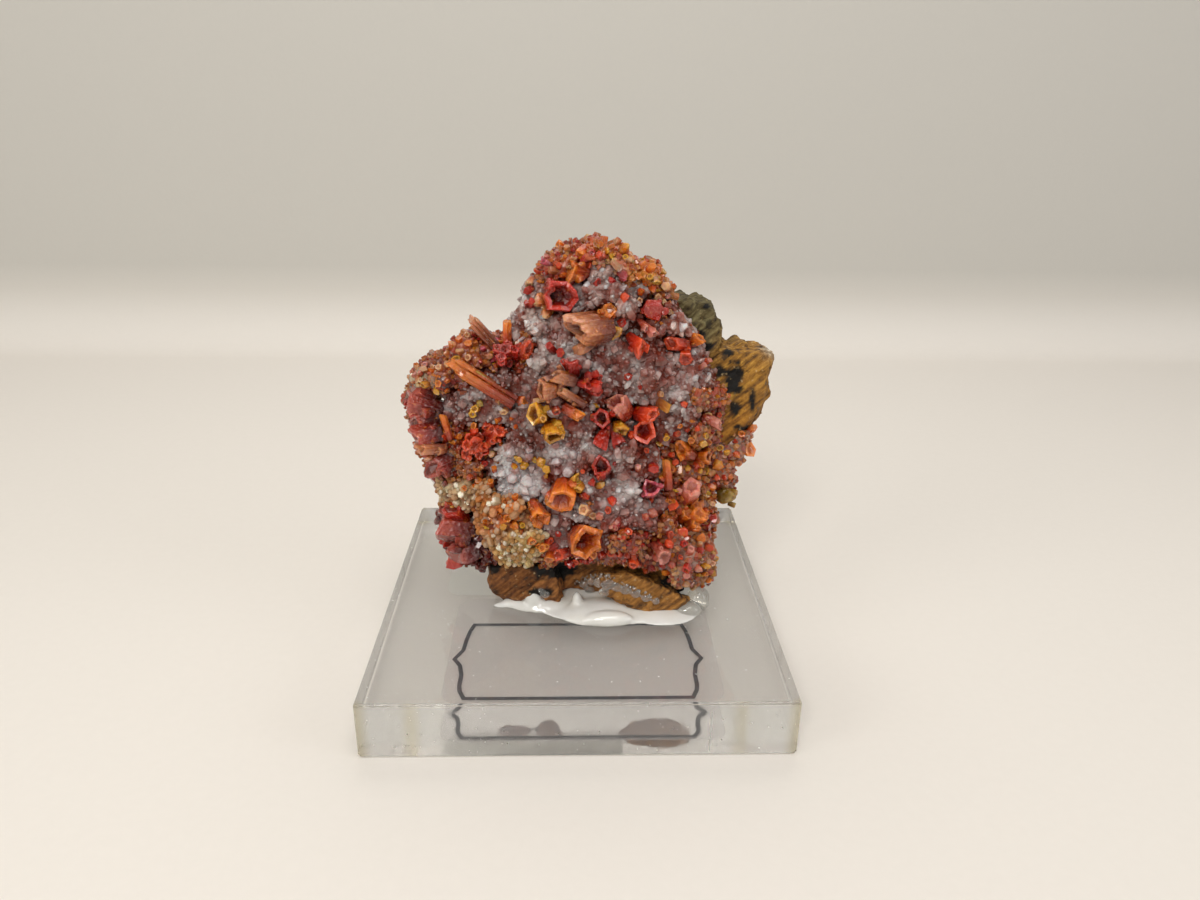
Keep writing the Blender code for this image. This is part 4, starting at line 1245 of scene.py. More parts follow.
@dataclass
class GluePuddle:
    """The puddle of glue under the rock's foot: blobs run together."""

    blobs: tuple[Blob, ...] = (
        Blob(4.2, -4.6, 0.0, 9.0, 4.0, 0.9),
        Blob(2.4, -5.9, 0.0, 4.8, 2.9, 1.45),
        Blob(-3.4, -4.2, 0.0, 4.6, 1.9, 1.2),
        Blob(9.6, -5.2, 0.0, 4.6, 3.6, 0.75),
        Blob(-5.2, -4.6, 1.4, 1.0, 0.9, 1.3),
        Blob(-0.15, -5.2, 1.3, 0.6, 0.8, 1.2),
        Blob(3.3, -7.9, 0.55, 2.9, 1.1, 0.95),
        Blob(-6.6, -4.1, 0.3, 2.4, 1.1, 0.9),
        Blob(-8.5, -4.35, 0.15, 1.5, 0.5, 0.45),
        Blob(2.7, -1.0, 0.0, 12.0, 5.4, 1.4),
        Blob(3.0, 3.4, 0.0, 9.0, 2.6, 1.4),
    )
    base: float = 6.5
    pitch: float = 0.19

    def build(self) -> bpy.types.Object:
        """Makes the puddle.

        Returns:
            The finished piece.
        """
        mesh = blob_mesh("glue_blobs", self.blobs, self.base)
        even = evened("glue_puddle", mesh, self.pitch, 7, 0.7)
        even.shade_smooth()
        return settle(put("glue_puddle", even, Glue().make()), "hot_glue", "glue")


@dataclass
class ClearGlue:
    """The clear bead at the puddle's right end, and the clear skin with its bubbles on the rock's front."""

    bead: tuple[Blob, ...] = (
        Blob(14.0, -4.5, 1.1, 1.35, 1.5, 1.6),
        Blob(12.7, -5.7, 0.5, 1.6, 1.3, 1.0),
    )
    skin: tuple[tuple[float, float, float], ...] = (
        (584, 584, 7), (592, 581, 8), (600, 582, 10), (608, 584, 10), (617, 587, 8), (626, 590, 8),
        (636, 594, 7), (646, 598, 7), (656, 601, 6), (590, 590, 8), (604, 592, 8), (545, 594, 7),
        (541, 590, 5),
    )
    bubbles: tuple[tuple[float, float], ...] = (
        (574, 582), (583, 577), (594, 574), (606, 574), (618, 579), (630, 585), (642, 590), (655, 596),
    )
    base: float = 6.5
    pitch: float = 0.14
    bubbles_a_span: int = 9

    def build(self, rock: bpy.types.Mesh) -> bpy.types.Object:
        """Makes the bead, and casts the skin and the bubbles onto the rock.

        Args:
            rock: the finished rock's mesh.

        Returns:
            The finished piece.
        """
        surface = sight_tree([rock])
        eye = Vector(VIEW.eye) * MM
        dice = random.Random(8)
        parts = list(self.bead)
        for u, v, size in self.skin:
            point = surface.ray_cast(eye, VIEW.sight(u, v))[0]
            if point:
                x, y, z = point / MM
                parts.append(Blob(x, y - 0.05, z - self.base, size * 0.085, 0.32, size * 0.075))
        body = evened("clear_glue_body", blob_mesh("clear_blobs", parts, self.base), self.pitch, 5, 0.6)
        builder = bmesh.new()
        for (u0, v0), (u1, v1) in zip(self.bubbles, self.bubbles[1:]):
            for _ in range(self.bubbles_a_span):
                share = dice.random()
                u = u0 + (u1 - u0) * share + dice.gauss(0, 1.5)
                v = v0 + (v1 - v0) * share + abs(dice.gauss(0, 2.6))
                point = surface.ray_cast(eye, VIEW.sight(u, v))[0]
                if point:
                    radius = dice.uniform(0.07, 0.17) * MM
                    spot = Matrix.Translation(point - VIEW.sight(u, v) * 0.2 * MM)
                    bmesh.ops.create_icosphere(builder, subdivisions=2, radius=radius, matrix=spot)
        foam = mesh_of("foam", builder)
        whole = joined("clear_glue", body, foam)
        whole.shade_smooth()
        return settle(put("clear_glue", whole, Glue("clear_glue", 0.85, 0.1).make()), "hot_glue")


ROCK_PATCHES = (
    Patch("foot brown", 560, 585, 50, "A46C38"),
    Patch("foot left", 505, 585, 25, "9A6434"),
    Patch("foot gold", 630, 585, 36, "C08A44"),
    Patch("ochre", 745, 380, 34, "C4923C"),
    Patch("ochre low", 735, 430, 24, "B8802E"),
    Patch("ochre edge", 764, 400, 12, "B98A4A"),
    Patch("whitish corner", 768, 354, 6, "E6DFCF"),
    Patch("olive", 695, 320, 28, "7C7450"),
    Patch("olive knob", 706, 305, 10, "6C6648"),
)
BLACK_PATCHES = (
    (734, 378, 9, 17), (720, 372, 5, 7), (726, 390, 5, 4), (729, 353, 6, 4), (495, 566, 6, 9),
    (555, 570, 24, 9), (670, 582, 14, 6), (683, 590, 8, 5), (735, 408, 5, 8), (702, 334, 4, 4),
    (690, 327, 3, 4), (707, 346, 6, 4), (540, 592, 12, 4), (706, 307, 4, 3), (748, 428, 14, 3),
    (752, 400, 3, 12),
)


@dataclass(frozen=True)
class Chunk:
    """An angular chunk of rock: its outline in the view, and its depth in millimetres from front to back."""

    outline: tuple[tuple[float, float], ...]
    front: float
    back: float
    chamfer: float = 0.07
    shrink: float = 0.93

    def mesh(self) -> bpy.types.Mesh:
        """The chunk as a closed mesh, in metres."""
        middle = [sum(point[i] for point in self.outline) / len(self.outline) for i in (0, 1)]
        builder = bmesh.new()
        stack = []
        for share, depth in (
            (1 - self.chamfer, self.front), (1.0, self.front + 1.1), (1.0, self.back - 1.6), (0.8, self.back)
        ):
            upper = []
            for u, v in self.outline:
                at = [m + (p - m) * share * self.shrink for m, p in zip(middle, (u, v))]
                upper.append(builder.verts.new(VIEW.spot(*at, depth) * MM))
            stack.append(upper)
        stacked(builder, stack)
        bmesh.ops.recalc_face_normals(builder, faces=builder.faces)
        return mesh_of("chunk", builder)


@dataclass
class RockMatrix:
    """The brown rock behind and below the crusts."""

    pitch: float = 0.25
    chunks: tuple[Chunk, ...] = (
        Chunk((
            (704, 360), (713, 352), (721, 347), (741, 346), (762, 347), (771, 351), (773, 358), (768, 379),
            (768, 388), (764, 402), (758, 415), (748, 427), (735, 441), (722, 455), (706, 446), (700, 400),
        ), 0.2, 7.6),
        Chunk((
            (664, 302), (674, 297), (690, 299), (703, 299), (711, 303), (712, 311), (716, 321), (718, 333),
            (721, 343), (718, 352), (704, 364), (690, 352),
        ), 1.0, 7.8),
        Chunk((
            (598, 572), (625, 572), (652, 580), (676, 592), (690, 600), (685, 607), (673, 612), (650, 613),
            (631, 608), (614, 599), (600, 592),
        ), -6.3, -2.0, 0.1, 0.98),
        Chunk((
            (489, 566), (520, 562), (556, 566), (562, 585), (562, 603), (548, 602), (536, 592), (522, 600),
            (505, 599), (494, 592), (489, 580),
        ), -5.1, -1.0, 0.08, 0.98),
    )

    def colour(self, point: Vector) -> Colour:
        """Colour of the rock at a point, in millimetres."""
        u, v = VIEW.seen(point)
        wander = Vector((noise.noise(point * 0.35), noise.noise(point * 0.35 + Vector((9, 5, 2)))))
        base = patched(ROCK_PATCHES, u + wander.x * 9, v + wander.y * 9)
        edge = noise.noise(point * 1.4) * 0.5 + noise.noise(point * 3.1) * 0.3
        if point.y < 9:
            for at_u, at_v, wide, high in BLACK_PATCHES:
                gap = math.hypot((u - at_u) / wide, (v - at_v) / high) + edge
                if gap < 1.15:
                    base = blended(linear("17130F"), base, min(1.0, max(0.0, (gap - 0.85) / 0.3)))
        elif edge > 0.26:
            base = blended(base, linear("1C1610"), min(1.0, (edge - 0.26) / 0.08))
        return base

    def build(self) -> bpy.types.Object:
        """Makes the rock from its CAD solid, swollen a little to close the gaps and roughened.

        Returns:
            The finished piece.
        """
        builder = solid_of("matrix")
        for chunk in self.chunks:
            builder.from_mesh(chunk.mesh())
        mesh = mesh_of("rock_parts", builder)
        mesh = relief_tree().grow(
            evened("rock_base", mesh, self.pitch, 0), Swell=0.0001, Lumps=0.0004, Facets=0.0004, Grain=0.0004,
            Fibre=0.0007, Lump_Scale=260.0, Facet_Scale=420.0, Grain_Scale=1300.0,
        )
        paint(mesh, self.colour)
        return settle(put("brown_rock", mesh, Limonite().make()), "limonite", "matrix")


@dataclass
class Ground:
    """The even ground of one crust, roughened, stained and darkened in its low places partly by painted shade,
    on which the small crystals stand.
    """

    node: str
    finish: bpy.types.Material
    patches: Sequence[Patch]
    # Colour of the low places: the red-brown stained ground between the grains, deepened as painted shade.
    crevice_stain_and_shade: str = "7A2A14"
    pitch: float = 0.27
    softening: int = 2
    smooth: bool = False

    def build(self) -> bpy.types.Mesh:
        """Makes the ground.

        Returns:
            Its mesh, with the stains and the painted shade of its low places as its tint.
        """
        mesh = relief_tree().grow(
            solid_copy(self.node, self.pitch, self.softening), Swell=0.0, Lumps=0.0007, Facets=0.0007,
            Grain=0.0003, Fibre=0.0, Lump_Scale=420.0, Facet_Scale=700.0, Grain_Scale=2200.0,
        )
        paint(mesh, self.colour)
        mesh.materials.append(self.finish)
        if self.smooth:
            mesh.shade_smooth()
        return mesh

    def colour(self, point: Vector) -> Colour:
        """Stain at a point in millimetres, darker in the low places partly as painted shade."""
        u, v = VIEW.seen(point)
        height = FACE.depth(u, v) - point.y
        # Painted shade: the further a point lies below the mean face, the more it takes the colour of the low
        # places.
        low = 0.95 * min(1.0, max(0.0, 0.65 - height))
        base = blended(patched(self.patches, u, v), linear(self.crevice_stain_and_shade), low)
        shade = 0.84 + 0.45 * noise.noise(point * 0.9) + 0.35 * noise.noise(point * 2.3)
        return tuple(part * shade for part in base)


def sight_tree(meshes: Sequence[bpy.types.Mesh]) -> BVHTree:
    """A search tree over meshes, in metres."""
    points: list[Vector] = []
    faces: list[list[int]] = []
    for mesh in meshes:
        start = len(points)
        points.extend(vert.co.copy() for vert in mesh.vertices)
        faces.extend([start + index for index in face.vertices] for face in mesh.polygons)
    return BVHTree.FromPolygons(points, faces)


@dataclass(frozen=True)
class Zone:
    """An area of the face where small crystals crowd, with sizes and spacing in view pixels."""

    outline: tuple[tuple[float, float], ...]
    spacing: float
    smallest: float
    largest: float
    tints: tuple[Tint, ...]


@dataclass
class SmallCrystals:
    """The many small crystals: those placed one by one and those that crowd in zones."""

    ground: BVHTree
    standing: BVHTree
    seed: int = 21
    forms: tuple[Form, ...] = (
        Form.PLAIN, Form.BLOCK, Form.BUD, Form.PLAIN, Form.FLARE, Form.BLOCK, Form.PLAIN, Form.POINT
    )

    def __post_init__(self) -> None:
        """Starts a grower for each slot."""
        self.dice = random.Random(self.seed)
        slots = sorted({tint.slot for tint in Tint})
        self.growers = {slot: CrystalGrower(self.seed + i, 0.14) for i, slot in enumerate(slots)}
        self.taken: list[tuple[float, float, float]] = []

    def place(self, u: float, v: float, width: float, tint: Tint, always: bool) -> None:
        """Adds a crystal of this width in pixels where the view shows (u, v)."""
        sight = VIEW.sight(u, v)
        eye = Vector(VIEW.eye) * MM
        point, normal, _, far = self.ground.ray_cast(eye, sight)
        if point is None:
            return
        in_front = self.standing.ray_cast(eye, sight)[3]
        if not always and in_front is not None and in_front < far:
            return
        radius = width / 2 * far / MM / VIEW.focal
        wild = Vector([self.dice.gauss(0, 0.42) for _ in range(3)])
        axis = (normal * 0.75 - sight * 0.55 + wild).normalized()
        form = self.dice.choice(self.forms)
        length = radius * self.dice.uniform(1.5, 3.0)
        if tint in (Tint.FROST, Tint.CREAM):
            form = Form.POINT if tint is Tint.FROST else Form.BUD
            length = radius * self.dice.uniform(1.4, 2.2)
        bundle = 1 if tint is Tint.FROST else self.dice.choice((1, 1, 1, 3))
        crystal = Crystal(u, v, 0, 0, length, radius, form, tint, bundle=bundle, ridges=1)
        self.growers[tint.slot].grow(point / MM - axis * radius * 0.7, axis, crystal)
        self.taken.append((u, v, width))

    def fill(self, zone: Zone) -> None:
        """Crowds a zone with crystals at chance places."""
        lows = [min(point[i] for point in zone.outline) for i in (0, 1)]
        highs = [max(point[i] for point in zone.outline) for i in (0, 1)]
        area = (highs[0] - lows[0]) * (highs[1] - lows[1])
        for _ in range(int(area / zone.spacing**2 * 7)):
            u = self.dice.uniform(lows[0], highs[0])
            v = self.dice.uniform(lows[1], highs[1])
            width = zone.smallest + (zone.largest - zone.smallest) * self.dice.random() ** 2
            if not within(zone.outline, u, v):
                continue
            if any(math.hypot(u - a, v - b) < zone.spacing * 0.6 + (width + c) * 0.2 for a, b, c in self.taken):
                continue
            self.place(u, v, width, self.dice.choice(zone.tints), False)

    def build(self) -> list[bpy.types.Object]:
        """Makes the small crystals.

        Returns:
            One finished piece for each slot.
        """
        for tint, dots in DOTS.items():
            for u, v, width in dots:
                self.place(u, v, width, tint, True)
        for zone in ZONES:
            self.fill(zone)
        made = []
        for slot, grower in self.growers.items():
            name = f"small_{slot}"
            finish = {"cream_coating": CreamCoating, "mauve_quartz": Quartz}.get(slot, Vanadinite)(name)
            made.append(settle(put(name, grower.mesh(name, 0), finish.make()), slot))
        return made


@dataclass
class Grains:
    """Small crystals scattered over one crust by Geometry Nodes; sizes are in millimetres."""

    tree: GrowthTree
    crystal: bpy.types.Object
    finish: bpy.types.Material
    spacing: float
    smallest: float
    largest: float
    tilt: float
    seed: int
    own: float = 0.5
    facing: float = -0.1
    clear: float = 0.12

    def scatter(self, ground: bpy.types.Mesh, obstacle: bpy.types.Object) -> bpy.types.Mesh:
        """Scatters the grains over a ground, clear of the obstacle."""
        return self.tree.grow(
            ground.copy(), Crystal=self.crystal, Obstacle=obstacle, Finish=self.finish,
            Spacing=self.spacing * MM, Smallest=self.smallest * MM, Largest=self.largest * MM, Tilt=self.tilt,
            Facing=self.facing, Clear=self.clear * MM, Own=self.own, Seed=self.seed,
        )


@dataclass
class StandingCrystals:
    """The large crystals, each in the place of its CAD solid."""

    bevel: float = 0.045

    def build(self) -> list[bpy.types.Object]:
        """Makes one piece for each CAD crystal or cluster.

        Returns:
            The finished pieces.
        """
        finishes = {slot: Vanadinite(slot).make() for slot in sorted({tint.slot for tint in Tint})}
        made = []
        for number, (node, slot, crystals) in enumerate(STANDING):
            grower = CrystalGrower(100 + number, 0.16)
            for crystal in crystals:
                grower.stand(crystal)
                grower.crowd(crystal)
            mesh = grower.mesh(node, self.bevel)
            made.append(settle(put(f"{node}_piece", mesh, finishes[slot]), slot, node))
        return made


F = Form
T = Tint
STANDING: tuple[tuple[str, str, tuple[Crystal, ...]], ...] = (
    ("crown_barrel_crystal", "red_vanadinite", (
        Crystal(553, 298, 15, 24, 3.0, 1.75, F.CUP, T.RED),
        Crystal(545, 300, 190, 50, 2.0, 0.8, F.BUD, T.PEACH),
        Crystal(549, 309, 240, 45, 1.9, 0.7, F.BUD, T.PEACH),
    )),
    ("lying_barrel_crystal", "tan_vanadinite", (
        Crystal(606, 326, 186, 66, 3.9, 1.8, F.TUB, T.TAN, 0.95, ridges=3, chips=2),
        Crystal(604, 317, 50, 58, 1.8, 0.95, F.BLOCK, T.ORANGE),
        Crystal(606, 330, -20, 60, 1.5, 0.85, F.BLOCK, T.AMBER),
        Crystal(590, 343, 212, 72, 2.0, 0.7, F.PLAIN, T.TAN, chips=1),
    )),
    ("ruby_hexagon_crystal", "red_vanadinite", (Crystal(652, 310, 0, 6, 2.3, 1.25, F.PLAIN, T.RED),)),
    ("pink_tooth_crystal", "tan_vanadinite", (
        Crystal(643, 323, -45, 62, 2.3, 0.9, F.FLARE, T.PINK, 1.0, 3),
    )),
    ("crown_wedge_crystal", "orange_vanadinite", (Crystal(584, 272, 175, 55, 2.2, 1.2, F.FLARE, T.ORANGE),)),
    ("shoulder_wedge_crystal", "red_vanadinite", (Crystal(631, 338, -50, 58, 2.4, 1.0, F.FLARE, T.SCARLET),)),
    ("shoulder_cluster", "orange_vanadinite", (
        Crystal(682, 345, 170, 48, 2.1, 0.9, F.BLOCK, T.SCARLET),
        Crystal(691, 341, 20, 50, 1.9, 0.8, F.BLOCK, T.ORANGE),
        Crystal(684, 351, -80, 45, 1.8, 0.8, F.FLARE, T.SCARLET),
    )),
    ("heart_cluster", "tan_vanadinite", (
        Crystal(556, 387, 188, 50, 2.5, 1.3, F.WIDE_CUP, T.TAN),
        Crystal(570, 380, 165, 62, 2.4, 1.0, F.BLOCK, T.TAN),
        Crystal(582, 404, 150, 76, 3.5, 0.95, F.BLOCK, T.TAN, 1.0, 3),
        Crystal(574, 370, 100, 45, 2.0, 0.9, F.BLOCK, T.RED),
        Crystal(566, 408, -30, 76, 2.2, 0.6, F.BLOCK, T.ORANGE),
    )),
    ("heart_ruby_crystal", "red_vanadinite", (
        Crystal(587, 384, -12, 48, 2.4, 1.25, F.BLOCK, T.RED, 1.0, 4),
    )),
    ("amber_cups_cluster", "amber_vanadinite", (
        Crystal(542, 417, 165, 34, 2.3, 1.2, F.WIDE_CUP, T.AMBER),
        Crystal(551, 428, -75, 40, 2.3, 1.2, F.WIDE_CUP, T.AMBER),
    )),
    ("coral_cluster", "red_vanadinite", (
        Crystal(624, 412, 125, 46, 2.6, 1.35, F.CUP, T.PINK),
        Crystal(641, 413, -8, 48, 2.3, 1.0, F.BLOCK, T.SCARLET),
        Crystal(641, 431, 0, 12, 2.4, 1.35, F.WIDE_CUP, T.SCARLET),
        Crystal(618, 427, -50, 25, 2.0, 1.0, F.BARREL, T.AMBER),
    )),
    ("maroon_twin_cluster", "red_vanadinite", (
        Crystal(604, 418, 180, 12, 2.1, 1.0, F.CUP, T.RED),
        Crystal(608, 426, -112, 70, 2.8, 1.0, F.CONE, T.RED),
        Crystal(612, 426, -70, 70, 2.6, 0.85, F.CONE, T.RED),
    )),
    ("flat_top_crystal", "orange_vanadinite", (
        Crystal(563, 486, -98, 52, 2.7, 1.6, F.CUP, T.ORANGE),
        Crystal(572, 484, 40, 50, 1.6, 0.7, F.BLOCK, T.AMBER),
    )),
    ("red_cup_crystal", "red_vanadinite", (Crystal(602, 473, 90, 28, 2.2, 1.0, F.CUP, T.RED),)),
    ("magenta_bud_crystal", "red_vanadinite", (Crystal(651, 491, 90, 14, 2.1, 1.15, F.CUP, T.MAGENTA),)),
    ("orange_wedge_crystal", "orange_vanadinite", (
        Crystal(534, 504, -68, 62, 2.7, 1.1, F.FLARE, T.ORANGE),
        Crystal(534, 508, 100, 60, 1.2, 0.6, F.BLOCK, T.ORANGE),
    )),
    ("great_orange_cup_crystal", "orange_vanadinite", (
        Crystal(578, 538, -25, 32, 3.0, 1.9, F.WIDE_CUP, T.ORANGE),
        Crystal(566, 552, 200, 55, 1.7, 0.8, F.BLOCK, T.SCARLET),
    )),
    ("ember_twin_cluster", "orange_vanadinite", (
        Crystal(689, 453, 150, 40, 2.2, 1.05, F.BLOCK, T.ORANGE),
        Crystal(699, 457, 0, 45, 2.1, 0.95, F.CUP, T.ORANGE),
    )),
    ("ember_column_crystal", "orange_vanadinite", (
        Crystal(669, 487, 95, 76, 3.4, 0.75, F.BLOCK, T.ORANGE, 1.0, 2),
    )),
    ("ember_fan_crystal", "orange_vanadinite", (
        Crystal(689, 522, 40, 50, 2.6, 1.5, F.FLARE, T.ORANGE, 1.0, 5),
    )),
    ("rose_block_crystal", "orange_vanadinite", (Crystal(687, 495, 60, 40, 2.3, 1.2, F.BLOCK, T.PINK),)),
    ("coral_wedge_crystal", "red_vanadinite", (Crystal(655, 546, -50, 58, 2.5, 0.95, F.FLARE, T.PINK),)),
    ("rose_prism_crystal", "tan_vanadinite", (Crystal(705, 418, -28, 74, 2.3, 0.62, F.BLOCK, T.PINK),)),
    ("olive_lump_crystal", "amber_vanadinite", (Crystal(721, 496, -10, 60, 2.1, 1.1, F.BUD, T.OLIVE),)),
    ("amber_spear_crystal", "orange_vanadinite", (
        Crystal(513, 401, 148, 82, 8.0, 1.25, F.PLAIN, T.ORANGE, 0.75, 7, 0.1, 1, 2),
        Crystal(509, 393, 147, 81, 4.6, 0.6, F.PLAIN, T.AMBER, 0.8, 3, 0.2, 1, 0),
        Crystal(520, 400, -10, 70, 1.0, 0.55, F.BLOCK, T.ORANGE),
    )),
    ("tan_spike_crystal", "tan_vanadinite", (
        Crystal(494, 344, 133, 80, 4.0, 1.15, F.PLAIN, T.TAN, 0.6, 4, 0.12, 2, 1),
        Crystal(480, 328, 133, 80, 1.1, 0.75, F.BUD, T.WINE, 0.6, 1, 0.15, 2, 0),
    )),
    ("orange_finger_crystal", "orange_vanadinite", (
        Crystal(507, 345, 90, 78, 2.8, 0.55, F.PLAIN, T.ORANGE),
    )),
    ("ruby_fan_cluster", "red_vanadinite", (
        Crystal(508, 358, 110, 35, 2.3, 1.3, F.FLARE, T.RED, 1.0, 5),
        Crystal(519, 352, 20, 45, 2.0, 0.85, F.BLOCK, T.SCARLET),
    )),
    ("left_maroon_crystal", "wine_vanadinite", (
        Crystal(440, 409, 165, 74, 4.1, 1.65, F.PLAIN, T.WINE, 0.9, ridges=1, chips=2),
        Crystal(436, 419, 192, 70, 3.1, 1.25, F.BLOCK, T.WINE, ridges=1, chips=2),
        Crystal(430, 398, 150, 64, 2.6, 1.15, F.PLAIN, T.WINE, ridges=1, chips=2),
        Crystal(424, 411, 176, 50, 2.3, 1.0, F.PLAIN, T.RED, ridges=1, chips=2),
    )),
    ("striated_stack_cluster", "wine_vanadinite", (
        Crystal(438, 434, 188, 72, 3.0, 1.45, F.BLOCK, T.WINE, 0.9, 1, 0.2, 2, 3),
        Crystal(442, 448, 184, 70, 3.1, 1.5, F.BLOCK, T.TAN, 0.9, 3, 0.4, 2, 3),
        Crystal(449, 460, 208, 66, 2.8, 1.3, F.BLOCK, T.WINE, 0.9, 1, 0.2, 2, 3),
    )),
    ("wine_cluster", "wine_vanadinite", (
        Crystal(470, 527, 176, 72, 3.9, 1.9, F.PLAIN, T.WINE, 0.9, ridges=1, chips=2),
        Crystal(463, 518, 140, 52, 2.7, 1.25, F.BLOCK, T.RED, chips=1),
        Crystal(475, 548, 200, 72, 3.3, 1.7, F.PLAIN, T.WINE, 0.9, ridges=1, chips=2),
        Crystal(462, 553, 232, 60, 2.4, 1.2, F.PLAIN, T.RED, ridges=1, chips=2),
        Crystal(455, 536, 190, 45, 2.4, 1.2, F.PLAIN, T.RED, ridges=1, chips=2),
    )),
    ("slim_finger_crystal", "orange_vanadinite", (Crystal(449, 437, 108, 74, 2.9, 0.45, F.PLAIN, T.ORANGE),)),
    ("red_rosette_crystal", "red_vanadinite", (
        Crystal(471, 446, 0, 20, 2.1, 1.4, F.FLARE, T.SCARLET, 1.0, 7),
    )),
    ("red_sheaf_crystal", "red_vanadinite", (
        Crystal(492, 434, 20, 40, 2.1, 1.1, F.BLOCK, T.SCARLET, 1.0, 5),
    )),
)

